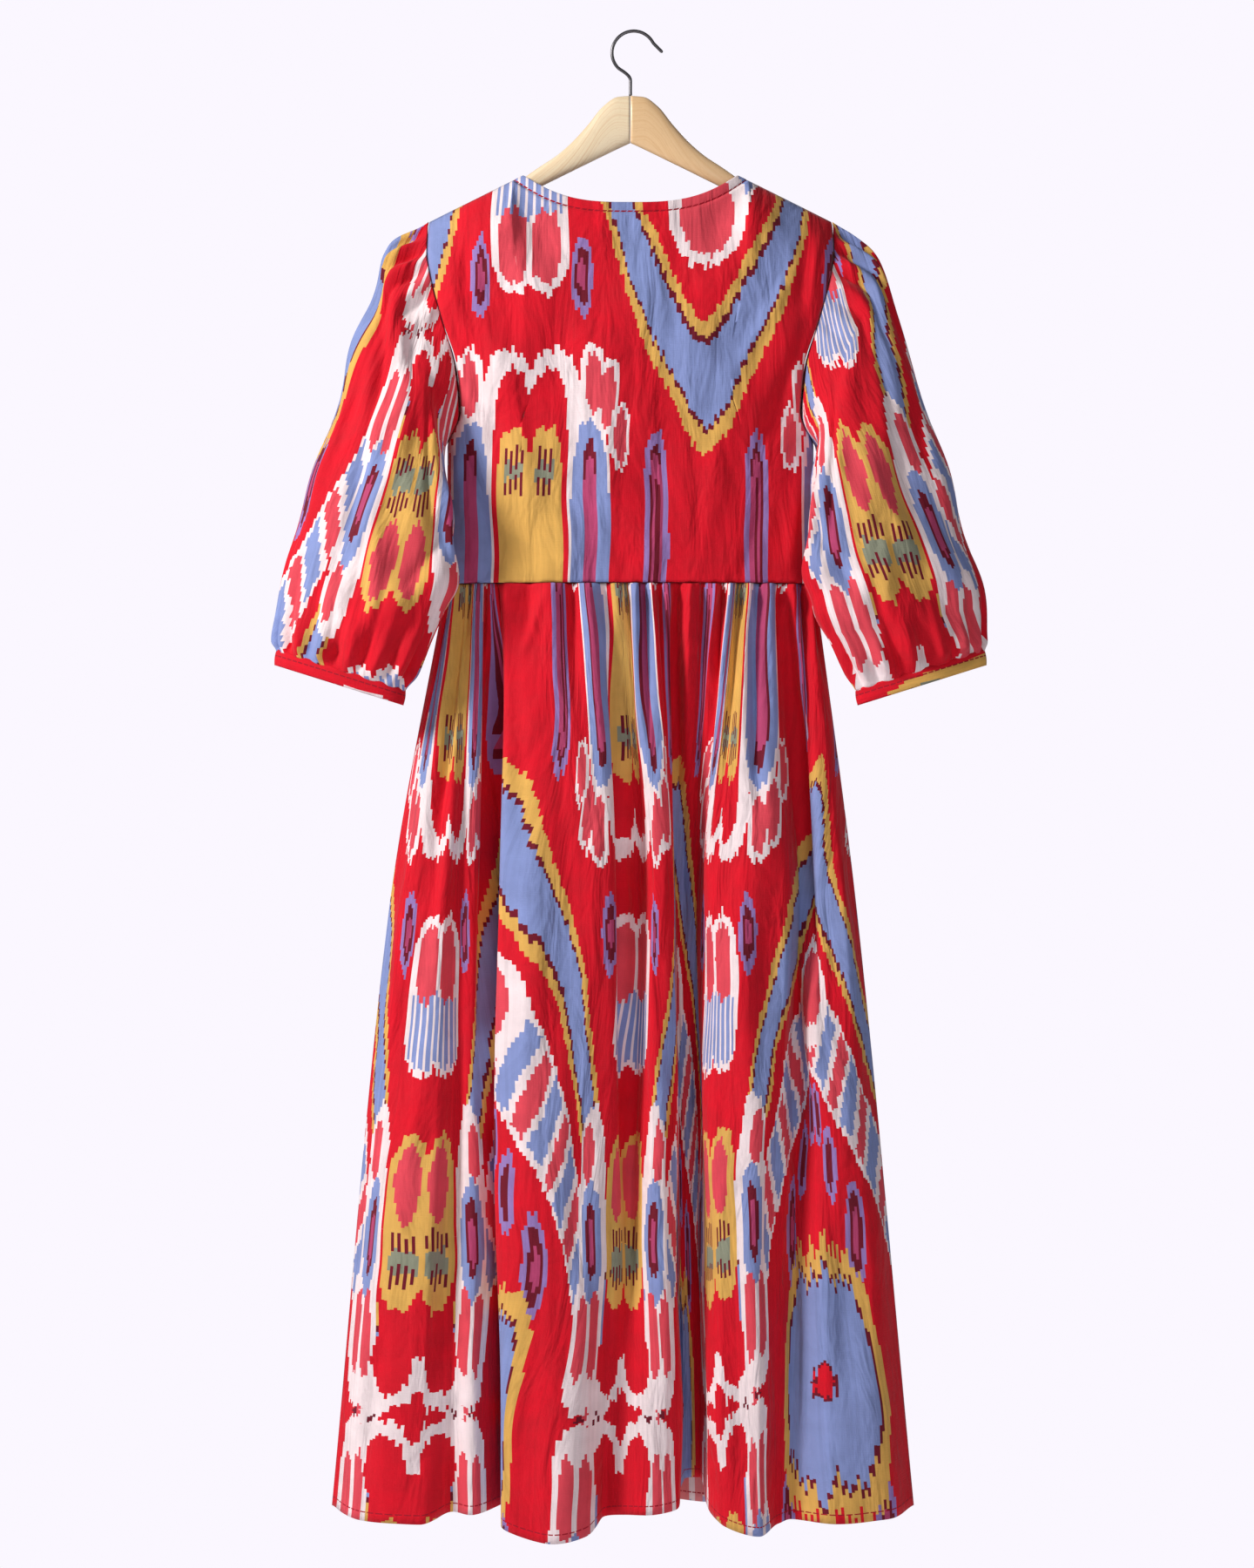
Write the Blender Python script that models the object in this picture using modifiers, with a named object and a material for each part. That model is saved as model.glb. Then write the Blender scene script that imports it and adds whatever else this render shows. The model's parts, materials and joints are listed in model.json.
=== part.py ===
"""A cotton dress with gathered skirt and three quarter sleeves, hung on a wishbone hanger.

Units are metres and +Z is up. The origin is the point inside the top of the hook
where a rail carries the hanger. The back of the dress faces -Y and its front +Y.
Every cloth piece is an open surface, worked out on a grid from the sizes and tables
below, that a Solidify modifier turns into a wall. "Out" is the distance of a panel
from the middle plane of the dress, towards -Y on the back and +Y on the front.
"""

import math

import bpy
import numpy as np


def table(columns, rows):
    """Give one array of numbers for each named column."""
    return dict(zip(columns.split(), np.array(rows, dtype=float).T))


# Cloth and seams
WALL = 0.0014
SEAM_GAP = 0.0003
EDGE_SHIFT = 0.0007          # half the gap where two walls meet at an angle
ARMHOLE_STEP = 0.0012        # from the armhole's edge out to the sleeve's
UNDERARM_EASE = 1.6          # how much wider that step is under the arm

# Heights
WAIST_Z = -0.507
MID_Z = -0.810
HEM_Z = -1.355

# Neck and shoulders
NECK_HALF = 0.099
NECK_Z = -0.131
BACK_DROP = 0.029
FRONT_DROP = 0.140
BAND_WIDTH = 0.009
SHOULDER_SLOPE = 0.477
NECK_OPEN = 0.024            # how far each side of the neck stands from the middle
SHOULDER_ROUND = 0.050       # height over which the cloth rounds over the hanger
NECK_EASE = 0.090            # height over which the cloth leans in to the neck
SWEEP = 0.014                # how far the shoulder ends are swept towards +Y

# Side of the bodice, from the waist seam up to the tip of the shoulder
BODICE = table("z half open depth", [
    (-0.5070, 0.170, 0.000, 0.034),
    (-0.4650, 0.169, 0.000, 0.037),
    (-0.4200, 0.168, 0.000, 0.040),
    (-0.3800, 0.168, 0.000, 0.042),
    (-0.3500, 0.155, 0.022, 0.043),
    (-0.3100, 0.158, 0.030, 0.042),
    (-0.2680, 0.171, 0.032, 0.040),
    (-0.2260, 0.182, 0.027, 0.036),
    (-0.2000, 0.186, 0.018, 0.034),
    (-0.1850, 0.186, 0.010, 0.033),
    (-0.1770, 0.186, 0.005, 0.032),
    (-0.1720, 0.185, 0.000, 0.031),
])
UNDERARM_ROW = 3
SECTION_POWER = 2.5
SHOULDER_COLUMNS = 4
NECK_COLUMNS = 16

# Fold lines of the skirt, a row for each ridge or valley from side seam to side seam:
# the place across the flat panel, x at the waist, the middle and the hem, out at the
# middle and the hem, and the height of the hem
FOLD_COLUMNS = "flat x_waist x_mid x_hem out_mid out_hem z_hem"
BACK_FOLDS = table(FOLD_COLUMNS, [
    (0.000, -0.169, -0.222, -0.274, 0.000, 0.000, -1.352),
    (0.048, -0.162, -0.205, -0.247, 0.028, 0.034, -1.358),
    (0.108, -0.151, -0.170, -0.191, 0.041, 0.048, -1.359),
    (0.144, -0.143, -0.155, -0.162, 0.029, 0.028, -1.352),
    (0.172, -0.137, -0.143, -0.144, 0.030, 0.040, -1.352),
    (0.220, -0.127, -0.117, -0.108, -0.003, 0.000, -1.346),
    (0.268, -0.119, -0.124, -0.116, 0.038, 0.048, -1.360),
    (0.316, -0.085, -0.080, -0.071, 0.053, 0.067, -1.372),
    (0.356, -0.058, -0.044, -0.040, 0.051, 0.056, -1.368),
    (0.396, -0.030, -0.008, -0.025, 0.043, 0.030, -1.356),
    (0.428, -0.008, 0.006, -0.006, 0.012, 0.040, -1.352),
    (0.474, 0.010, 0.021, 0.022, 0.040, 0.048, -1.350),
    (0.512, 0.023, 0.040, 0.043, 0.032, 0.040, -1.346),
    (0.588, 0.046, 0.041, 0.048, -0.006, -0.008, -1.330),
    (0.664, 0.070, 0.061, 0.064, -0.006, -0.008, -1.328),
    (0.724, 0.090, 0.068, 0.072, 0.026, 0.036, -1.350),
    (0.748, 0.098, 0.076, 0.084, 0.039, 0.050, -1.360),
    (0.794, 0.114, 0.107, 0.116, 0.050, 0.055, -1.368),
    (0.840, 0.133, 0.140, 0.135, 0.042, 0.030, -1.362),
    (0.864, 0.143, 0.152, 0.146, 0.010, 0.030, -1.358),
    (0.908, 0.155, 0.168, 0.185, 0.034, 0.050, -1.358),
    (0.958, 0.163, 0.193, 0.233, 0.032, 0.040, -1.356),
    (1.000, 0.169, 0.208, 0.260, 0.000, 0.000, -1.352),
])
FRONT_FOLDS = table(FOLD_COLUMNS, [
    (0.000, -0.169, -0.222, -0.274, 0.000, 0.000, -1.352),
    (0.055, -0.160, -0.204, -0.246, 0.030, 0.038, -1.357),
    (0.115, -0.150, -0.176, -0.200, 0.042, 0.050, -1.360),
    (0.165, -0.138, -0.158, -0.168, 0.022, 0.020, -1.350),
    (0.225, -0.122, -0.136, -0.140, 0.044, 0.060, -1.358),
    (0.300, -0.090, -0.092, -0.084, 0.052, 0.068, -1.364),
    (0.350, -0.070, -0.066, -0.062, 0.032, 0.028, -1.352),
    (0.410, -0.044, -0.046, -0.040, 0.048, 0.060, -1.358),
    (0.470, -0.022, -0.014, -0.002, 0.052, 0.066, -1.362),
    (0.520, -0.004, 0.008, 0.016, 0.031, 0.027, -1.352),
    (0.590, 0.022, 0.026, 0.038, 0.048, 0.062, -1.360),
    (0.665, 0.050, 0.066, 0.086, 0.054, 0.072, -1.366),
    (0.720, 0.072, 0.084, 0.104, 0.033, 0.030, -1.352),
    (0.780, 0.096, 0.104, 0.126, 0.046, 0.060, -1.360),
    (0.850, 0.122, 0.140, 0.172, 0.044, 0.054, -1.362),
    (0.895, 0.138, 0.158, 0.190, 0.026, 0.026, -1.352),
    (0.950, 0.152, 0.182, 0.228, 0.033, 0.040, -1.357),
    (1.000, 0.169, 0.208, 0.260, 0.000, 0.000, -1.352),
])
WAIST_GATHERS = 24
COLUMNS_A_GATHER = 3
WAIST_RIPPLE = 0.0030
WAIST_RIPPLE_FADE = 0.075
SKIRT_ROWS = (0.0, 0.02, 0.05, 0.10, 0.17, 0.27, 0.40, 0.60, 0.80, 1.0)

# Outer and inner edge of a sleeve from the armhole to the top of its cuff, a row for
# each section, with its depth to the back and the front and how far it tucks inwards
SLEEVE = table("share outer_x outer_y outer_z inner_x inner_y inner_z to_back to_front tuck", [
    (0.00, 0.185, 0.014, -0.172, 0.168, 0.004, -0.380, 0.032, 0.032, 0.000),
    (0.12, 0.223, 0.010, -0.199, 0.180, -0.006, -0.404, 0.038, 0.034, 0.012),
    (0.25, 0.242, 0.002, -0.256, 0.173, -0.028, -0.436, 0.040, 0.030, 0.026),
    (0.40, 0.266, -0.004, -0.328, 0.161, -0.040, -0.468, 0.042, 0.026, 0.014),
    (0.55, 0.291, -0.008, -0.408, 0.158, -0.045, -0.502, 0.042, 0.026, 0.004),
    (0.72, 0.314, -0.014, -0.488, 0.166, -0.047, -0.534, 0.040, 0.026, 0.000),
    (0.88, 0.325, -0.020, -0.548, 0.184, -0.046, -0.571, 0.034, 0.026, 0.000),
    (1.00, 0.322, -0.026, -0.569, 0.204, -0.044, -0.606, 0.022, 0.022, 0.000),
])
SLEEVE_GATHERS = 20
SLEEVE_ROWS = (0.0, 0.06, 0.16, 0.30, 0.45, 0.63, 0.80, 0.92, 1.0)
HEAD_RIPPLE = 0.0026
CUFF_RIPPLE = 0.0030
SCOOP_FADE = 0.30
CUFF_COLUMNS = 40
CUFF_HEIGHT = 0.013
CUFF_SLANT = 0.14            # how far the cuff's fall leans outwards for each metre down

# Hanger, a row for each section of one arm from the middle to its end
ARM = table("x top bottom half_thick", [
    (0.00015, -0.0580, -0.1015, 0.0062),
    (0.0120, -0.0590, -0.1070, 0.0062),
    (0.0255, -0.0680, -0.1135, 0.0062),
    (0.0390, -0.0845, -0.1200, 0.0062),
    (0.0540, -0.1008, -0.1272, 0.0060),
    (0.0690, -0.1135, -0.1345, 0.0056),
    (0.0800, -0.1205, -0.1398, 0.0051),
    (0.0920, -0.1285, -0.1455, 0.0047),
    (0.1020, -0.1356, -0.1500, 0.0046),
    (0.1400, -0.1532, -0.1680, 0.0048),
    (0.1640, -0.1645, -0.1790, 0.0048),
    (0.1720, -0.1700, -0.1780, 0.0032),
])
ARM_SIDES = 16
ARM_POWER = 2.3
WIRE = 0.0030
HOOK_RADIUS = 0.0200         # to the middle of the wire
HOOK_X = 0.003
STEM_TOP = -0.0425
HOOK_TAIL = 0.0085


def monotone(at, knots, values):
    """Read a smooth curve through the knots that never overshoots them."""
    step = np.diff(knots)
    secant = np.diff(values) / step
    slope = np.zeros(len(knots))
    left, right = secant[:-1], secant[1:]
    same = left * right > 0
    slope[1:-1][same] = 2.0 * left[same] * right[same] / (left[same] + right[same])
    slope[0], slope[-1] = secant[0], secant[-1]
    at = np.clip(at, knots[0], knots[-1])
    cell = np.clip(np.searchsorted(knots, at) - 1, 0, len(step) - 1)
    share = (at - knots[cell]) / step[cell]
    rise = share * share * (3.0 - 2.0 * share)
    start = share * (1.0 - share) ** 2 * step[cell]
    end = share * share * (share - 1.0) * step[cell]
    level = values[cell] + (values[cell + 1] - values[cell]) * rise
    return level + slope[cell] * start + slope[cell + 1] * end


def smooth(share):
    """Ease from 0 to 1."""
    share = np.clip(share, 0.0, 1.0)
    return share * share * (3.0 - 2.0 * share)


def section(across, depth, side_out=0.0):
    """Out of a rounded section, from 0 in the middle to 1 at its side."""
    swell = (1.0 - np.clip(np.abs(across), 0.0, 1.0) ** SECTION_POWER) ** (1.0 / SECTION_POWER)
    return side_out + (depth - side_out) * swell


def sweep(x, z):
    """How far the shoulders are swept towards +Y at a point, fading to the waist."""
    rise = np.clip((z - WAIST_Z) / (NECK_Z - WAIST_Z), 0.0, 1.0)
    return SWEEP * np.minimum(np.abs(x) / BODICE["half"][-1], 1.0) ** 2 * rise


def shoulder_z(x):
    """Height of the shoulder line."""
    return NECK_Z - (np.abs(x) - NECK_HALF) * SHOULDER_SLOPE


def neck_half(step_out):
    """Half width of the neck curve, a step outside its edge."""
    return NECK_HALF + step_out


def neck_z(across, front, step_out):
    """Height of the neck curve: across is 0 in the middle and 1 at the shoulder."""
    drop = (FRONT_DROP if front else BACK_DROP) + step_out * (1.0 - SHOULDER_SLOPE)
    power = 2.0 if front else 3.0
    low = drop * (1.0 - np.abs(across) ** power)
    return shoulder_z(neck_half(step_out)) - low


def neck_out(across):
    """Out of the neck curve, which opens quickly beside the shoulder seam."""
    return NECK_OPEN * np.sqrt(1.0 - across ** 6)


def bodice_columns():
    """Places across a bodice panel, -1 to 1, close together where the neck meets the shoulder."""
    edge = neck_half(BAND_WIDTH) / BODICE["half"][-1]
    neck = -edge * np.cos(np.linspace(0.0, math.pi, NECK_COLUMNS + 1))
    outer = np.linspace(edge, 1.0, SHOULDER_COLUMNS + 1)[1:]
    return np.concatenate([-outer[::-1], neck, outer])


def bodice_points(across, row_z, front):
    """Points of a bodice panel: columns run up from the waist to the neck or shoulder."""
    across, row_z = np.meshgrid(across, row_z)
    tip_z = BODICE["z"][-1]
    half = monotone(row_z, BODICE["z"], BODICE["half"])
    opening = monotone(row_z, BODICE["z"], BODICE["open"])
    depth = monotone(row_z, BODICE["z"], BODICE["depth"])
    top_x = across * BODICE["half"][-1]
    in_neck = np.clip(top_x / neck_half(BAND_WIDTH), -1.0, 1.0)
    top_z = np.where(np.abs(in_neck) < 1.0,
                     neck_z(in_neck, front, BAND_WIDTH), shoulder_z(top_x))
    bottom = WAIST_Z + SEAM_GAP / 2
    x = across * half
    z = bottom + (top_z - bottom) * (row_z - WAIST_Z) / (tip_z - WAIST_Z)
    below = top_z - z
    arch = np.sqrt(1.0 - (1.0 - np.clip(below / SHOULDER_ROUND, 0.0, 1.0)) ** 2)
    near_shoulder = np.abs(in_neck) ** 8
    rise = near_shoulder * arch + (1.0 - near_shoulder) * smooth(below / NECK_EASE)
    top_out = neck_out(in_neck)
    out = top_out + (section(across, depth, opening) - top_out) * rise
    out = np.maximum(out, EDGE_SHIFT)
    return np.stack([x, (out if front else -out) + sweep(x, z), z], axis=2)


def neck_band_points():
    """Points of the ring that binds the neck, from the panels up to the free edge."""
    turn = np.linspace(0.0, 2.0 * math.pi, 2 * NECK_COLUMNS, endpoint=False)
    across = np.cos(turn)
    front = np.sin(turn) > 0.0
    loops = []
    for step_out in (BAND_WIDTH - 4.0 * SEAM_GAP, 0.0):
        x = neck_half(step_out) * across
        z = np.where(front, neck_z(across, True, step_out), neck_z(across, False, step_out))
        y = np.where(front, neck_out(across), -neck_out(across)) + sweep(x, z)
        loops.append(np.stack([x, y, z], axis=1))
    return np.array(loops)


def between_levels(share, waist, middle, hem):
    """Carry a fold line's value from the waist through the middle to the hem."""
    mid_share = (MID_Z - WAIST_Z) / (HEM_Z - WAIST_Z)
    upper = (middle - waist) / mid_share
    lower = (hem - middle) / (1.0 - mid_share)
    together = upper * lower > 0
    sums = np.where(together, upper + lower, 1.0)
    bend = np.where(together, 2.0 * upper * lower / sums, 0.0)
    high = share <= mid_share
    span = np.where(high, mid_share, 1.0 - mid_share)
    part = np.where(high, share, share - mid_share) / span
    first, last = np.where(high, waist, middle), np.where(high, middle, hem)
    leave, arrive = np.where(high, upper, bend), np.where(high, bend, lower)
    rise = part * part * (3.0 - 2.0 * part)
    curve = part * (1.0 - part) ** 2 * leave + part * part * (part - 1.0) * arrive
    return first + (last - first) * rise + curve * span


def skirt_points(flat, share, folds, front):
    """Points of a skirt panel: flat is the place across it, share goes from waist to hem."""
    column = {name: monotone(flat, folds["flat"], values) for name, values in folds.items()}
    share = np.asarray(share)[:, None]
    waist_out = section(column["x_waist"] / BODICE["half"][0], BODICE["depth"][0])
    x = between_levels(share, column["x_waist"], column["x_mid"], column["x_hem"])
    out = between_levels(share, waist_out, column["out_mid"], column["out_hem"])
    ripple = np.cos(2.0 * math.pi * WAIST_GATHERS * flat / folds["flat"][-1])
    calm_sides = smooth(waist_out / 0.015)
    out = out + WAIST_RIPPLE * ripple * calm_sides * np.exp(-share / WAIST_RIPPLE_FADE)
    at_side = (flat <= folds["flat"][0]) | (flat >= folds["flat"][-1])
    out = np.where(at_side, EDGE_SHIFT, out)
    top = WAIST_Z - 2.0 * SEAM_GAP
    z = top + (column["z_hem"] - top) * share
    return np.stack([x, (out if front else -out), z], axis=2)


def along_edge(points, count):
    """Split an edge into a number of steps that keep every one of its own points."""
    lengths = np.linalg.norm(np.diff(points, axis=0), axis=1)
    ends = np.round(np.cumsum(lengths) / lengths.sum() * count).astype(int)
    ends = np.maximum(ends, np.arange(1, len(ends) + 1))
    knots = np.concatenate([[0], ends])
    at = np.arange(count)
    return np.stack([np.interp(at, knots, points[:, axis]) for axis in range(3)], axis=1)


def armhole_loop(count, side):
    """Armhole edge of both panels, from the shoulder down the back and up the front."""
    row_z = BODICE["z"][UNDERARM_ROW:][::-1]
    back = bodice_points([side], row_z, False)[:, 0]
    front = bodice_points([side], row_z, True)[:, 0]
    return np.concatenate([along_edge(back, count // 2), along_edge(front[::-1], count // 2)])


def sleeve_ring(share, turn, side):
    """Plain section of a sleeve: turn is 0 at the outer edge and half a circle at the inner."""
    row = {name: monotone(share, SLEEVE["share"], values) for name, values in SLEEVE.items()}
    along = (1.0 - np.cos(turn)) / 2.0
    x = row["outer_x"] + (row["inner_x"] - row["outer_x"]) * along
    z = row["outer_z"] + (row["inner_z"] - row["outer_z"]) * along
    swell = np.sin(turn)
    x = x - row["tuck"] * np.maximum(swell, 0.0) * along
    depth = np.where(swell > 0.0, row["to_back"] * swell, -row["to_front"] * np.abs(swell) ** 1.6)
    y = row["outer_y"] + (row["inner_y"] - row["outer_y"]) * along - depth
    return np.stack([side * x, y, z], axis=-1)


def sleeve_points(count, rows, side):
    """Points of a sleeve from the armhole to the cuff, with the gathers at both ends."""
    turn = np.linspace(0.0, 2.0 * math.pi, count, endpoint=False)
    armhole = armhole_loop(count, side)
    scoop = armhole - sleeve_ring(0.0, turn, side)
    grid = []
    for share in rows:
        ring = sleeve_ring(share, turn, side) + scoop * (1.0 - smooth(share / SCOOP_FADE))
        away = ring - ring.mean(axis=0)
        away /= np.linalg.norm(away, axis=1)[:, None]
        head = HEAD_RIPPLE * np.exp(-((share - 0.05) / 0.09) ** 2) * smooth(np.cos(turn) + 0.1)
        cuff = CUFF_RIPPLE * math.exp(-(1.0 - share) / 0.10)
        ripple = (head + cuff) * np.cos(SLEEVE_GATHERS * turn)
        grid.append(ring + away * ripple[:, None])
    grid = np.array(grid)
    grid[0] = armhole
    grid[0, :, 0] += side * ARMHOLE_STEP * (1.0 + UNDERARM_EASE * smooth(-2.0 * np.cos(turn)))
    return grid


def cuff_points(side):
    """Points of the band that closes a sleeve."""
    turn = np.linspace(0.0, 2.0 * math.pi, CUFF_COLUMNS, endpoint=False)
    ring = sleeve_ring(1.0, turn, side)
    fall = np.array([side * CUFF_SLANT, 0.0, -1.0])
    fall /= np.linalg.norm(fall)
    return np.array([ring + fall * drop for drop in (4.0 * SEAM_GAP, CUFF_HEIGHT)])


def material(name, colour, roughness, metallic=0.0):
    """Plain finish for one kind of piece."""
    made = bpy.data.materials.new(name)
    made.use_nodes = True
    shader = made.node_tree.nodes["Principled BSDF"]
    shader.inputs["Base Color"].default_value = (*colour, 1.0)
    shader.inputs["Roughness"].default_value = roughness
    shader.inputs["Metallic"].default_value = metallic
    return made


def mesh_object(name, points, faces, finish, home):
    """Object with the given points and faces."""
    mesh = bpy.data.meshes.new(name)
    mesh.from_pydata([tuple(point) for point in points], [], faces)
    mesh.materials.append(finish)
    made = bpy.data.objects.new(name, mesh)
    home.objects.link(made)
    mesh.shade_smooth()
    return made


def grid_faces(rows, columns, closed):
    """Faces between neighbouring rows and columns of a grid of points."""
    last = columns if closed else columns - 1
    return [(row * columns + column,
             row * columns + (column + 1) % columns,
             (row + 1) * columns + (column + 1) % columns,
             (row + 1) * columns + column)
            for row in range(rows - 1) for column in range(last)]


def cloth(name, grid, closed, finish, home):
    """Cloth piece: a grid of points with a wall of even thickness."""
    rows, columns = grid.shape[:2]
    faces = grid_faces(rows, columns, closed)
    made = mesh_object(name, grid.reshape(-1, 3), faces, finish, home)
    wall = made.modifiers.new("Wall", "SOLIDIFY")
    wall.thickness = WALL
    wall.offset = 0.0
    return made


def hanger_arm(name, side, finish, home):
    """One arm of the hanger: rounded upright sections along its length, closed at both ends."""
    turn = np.linspace(0.0, 2.0 * math.pi, ARM_SIDES, endpoint=False)
    swing = side * turn
    bulge_y = np.sign(np.cos(swing)) * np.abs(np.cos(swing)) ** (2.0 / ARM_POWER)
    bulge_z = np.sign(np.sin(swing)) * np.abs(np.sin(swing)) ** (2.0 / ARM_POWER)
    rings = []
    for x, top, bottom, thick in zip(*ARM.values()):
        ring_z = (top + bottom) / 2.0 + (top - bottom) / 2.0 * bulge_z
        ring_y = sweep(x, NECK_Z) + thick * bulge_y
        rings.append(np.stack([np.full(ARM_SIDES, side * x), ring_y, ring_z], axis=1))
    grid = np.array(rings)
    faces = grid_faces(len(rings), ARM_SIDES, True)
    first = list(range(ARM_SIDES))
    last = [point + (len(rings) - 1) * ARM_SIDES for point in first]
    faces += [tuple(reversed(first)), tuple(last)]
    return mesh_object(name, grid.reshape(-1, 3), faces, finish, home)


def hook_path():
    """Middle line of the wire: up the stem, round to the left, over the top and down."""
    top_z = WIRE / 2.0
    centre_z = top_z - HOOK_RADIUS
    start_z = ARM["top"][0] + SEAM_GAP
    foot = [(0.0, start_z), (0.0, (start_z + STEM_TOP) / 2.0), (0.0, STEM_TOP)]
    left = math.radians(226.0)
    right = math.radians(26.0)
    reach = (HOOK_X + HOOK_RADIUS * math.cos(left), centre_z + HOOK_RADIUS * math.sin(left))
    neck = []
    for share in (0.25, 0.5, 0.75):
        neck.append((reach[0] * share ** 1.5, STEM_TOP + (reach[1] - STEM_TOP) * share))
    arc = [(HOOK_X + HOOK_RADIUS * math.cos(angle), centre_z + HOOK_RADIUS * math.sin(angle))
           for angle in np.linspace(left, right, 15)]
    tail_x, tail_z = arc[-1]
    tail = [(tail_x + HOOK_TAIL * share, tail_z - HOOK_TAIL * share) for share in (0.5, 1.0)]
    return foot + neck + arc + tail


def hook(name, finish, home):
    """Steel wire hook."""
    curve = bpy.data.curves.new(name, "CURVE")
    curve.dimensions = "3D"
    curve.bevel_depth = WIRE / 2.0
    curve.bevel_resolution = 2
    curve.use_fill_caps = True
    route = hook_path()
    spline = curve.splines.new("POLY")
    spline.points.add(len(route) - 1)
    for point, (x, z) in zip(spline.points, route):
        point.co = (x, 0.0, z, 1.0)
    curve.materials.append(finish)
    made = bpy.data.objects.new(name, curve)
    home.objects.link(made)
    return made


def build():
    """Make every piece of the dress and its hanger."""
    for thing in list(bpy.data.objects):
        bpy.data.objects.remove(thing, do_unlink=True)
    home = bpy.data.collections.new("cotton_dress")
    bpy.context.scene.collection.children.link(home)

    back = material("Printed cotton, back", (0.70, 0.03, 0.04), 0.85)
    front = material("Printed cotton, front", (0.62, 0.03, 0.05), 0.85)
    sleeve = material("Printed cotton, sleeves", (0.66, 0.05, 0.06), 0.85)
    trim = material("Printed cotton, bands", (0.55, 0.04, 0.05), 0.85)
    wood = material("Lacquered beech", (0.90, 0.72, 0.50), 0.40)
    steel = material("Dark steel wire", (0.10, 0.10, 0.10), 0.35, 1.0)

    across = bodice_columns()
    cloth("bodice_back", bodice_points(across, BODICE["z"], False), False, back, home)
    cloth("bodice_front", bodice_points(across, BODICE["z"], True), False, front, home)
    cloth("neck_binding", neck_band_points(), True, trim, home)

    flat = np.linspace(0.0, BACK_FOLDS["flat"][-1], WAIST_GATHERS * COLUMNS_A_GATHER + 1)
    cloth("skirt_back", skirt_points(flat, SKIRT_ROWS, BACK_FOLDS, False), False, back, home)
    cloth("skirt_front", skirt_points(flat, SKIRT_ROWS, FRONT_FOLDS, True), False, front, home)

    for word, side in (("left", -1.0), ("right", 1.0)):
        columns = SLEEVE_GATHERS * COLUMNS_A_GATHER
        cloth("sleeve_" + word, sleeve_points(columns, SLEEVE_ROWS, side), True, sleeve, home)
        cloth("cuff_" + word, cuff_points(side), True, trim, home)
        hanger_arm("hanger_arm_" + word, side, wood, home)
    hook("hanger_hook", steel, home)


build()
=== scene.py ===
"""Looks of a cotton ikat dress that hangs on a wooden hanger, seen from its back.

Units are metres and +Z is up. The origin is the point inside the top of the hook. The back of
the dress faces -Y. Every cloth piece is a surface on a grid, worked out from the same sizes and
tables as the solid that it stands for, with finer gathers, creases and folds laid on it.
"""

import json
import math

import bmesh
import bpy
import numpy as np
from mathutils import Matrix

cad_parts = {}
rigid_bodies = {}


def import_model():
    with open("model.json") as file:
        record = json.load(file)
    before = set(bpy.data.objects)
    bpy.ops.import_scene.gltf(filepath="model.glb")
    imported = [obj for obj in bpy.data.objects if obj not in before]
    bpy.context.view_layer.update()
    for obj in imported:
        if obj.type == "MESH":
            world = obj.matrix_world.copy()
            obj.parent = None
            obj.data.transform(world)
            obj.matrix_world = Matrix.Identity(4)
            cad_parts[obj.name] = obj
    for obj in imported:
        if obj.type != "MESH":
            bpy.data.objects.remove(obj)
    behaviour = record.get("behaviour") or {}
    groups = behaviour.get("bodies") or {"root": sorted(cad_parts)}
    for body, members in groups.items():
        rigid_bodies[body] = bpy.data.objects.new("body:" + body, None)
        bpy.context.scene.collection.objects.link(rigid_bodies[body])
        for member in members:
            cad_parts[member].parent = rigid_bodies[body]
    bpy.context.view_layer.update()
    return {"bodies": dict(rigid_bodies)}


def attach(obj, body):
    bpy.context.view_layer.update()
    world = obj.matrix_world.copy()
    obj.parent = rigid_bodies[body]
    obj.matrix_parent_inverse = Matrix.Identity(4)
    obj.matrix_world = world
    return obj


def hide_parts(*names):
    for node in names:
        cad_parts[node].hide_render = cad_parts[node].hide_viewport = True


bl_info = {
    "name": "Cotton ikat dress",
    "version": (1, 0, 0),
    "blender": (4, 5, 0),
    "location": "View3D > Sidebar > Dress",
    "description": "Builds a printed cotton dress on its wooden hanger",
    "category": "Add Mesh",
}

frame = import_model()
ROOT = list(frame["bodies"])[0]


# Units of the tables, as how many of them go into a metre
MM = 1000
TENTH = 10000


def table(columns, parts, rows):
    """Give one array for each named column: its whole numbers over how many parts they count
    in, so many to the metre, the degree or the whole."""
    return dict(zip(columns.split(), (np.array(rows, dtype=float) / parts).T))


# Sizes of the cut, in metres, as in the solids
SEAM_GAP = 0.0003
EDGE_SHIFT = 0.0007
ARMHOLE_STEP = 0.0012
UNDERARM_EASE = 1.6
WAIST_Z = -0.507
MID_Z = -0.810
HEM_Z = -1.355
NECK_HALF = 0.099
NECK_Z = -0.131
BACK_DROP = 0.029
FRONT_DROP = 0.140
BAND_WIDTH = 0.009
BAND_TUCK = 0.003            # how far the binding runs on beneath the panels
BAND_PLUMP = 0.0006          # how far the binding swells in its middle
TUCK_DROP = 0.0012           # how far its tucked edge lies lower
TUCK_IN = 0.0010             # and further in
SHOULDER_SLOPE = 0.477
NECK_OPEN = 0.024
SHOULDER_ROUND = 0.050
NECK_EASE = 0.090
SWEEP = 0.014
SECTION_POWER = 2.5

# Side of the bodice, from the waist seam up to the tip of the shoulder
BODICE = table("z half open depth", MM, [
    (-507, 170, 0, 34), (-465, 169, 0, 37), (-420, 168, 0, 40), (-380, 168, 0, 42),
    (-350, 155, 22, 43), (-310, 158, 30, 42), (-268, 171, 32, 40), (-226, 182, 27, 36),
    (-200, 186, 18, 34), (-185, 186, 10, 33), (-177, 186, 5, 32), (-172, 185, 0, 31),
])
UNDERARM_ROW = 3

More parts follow.
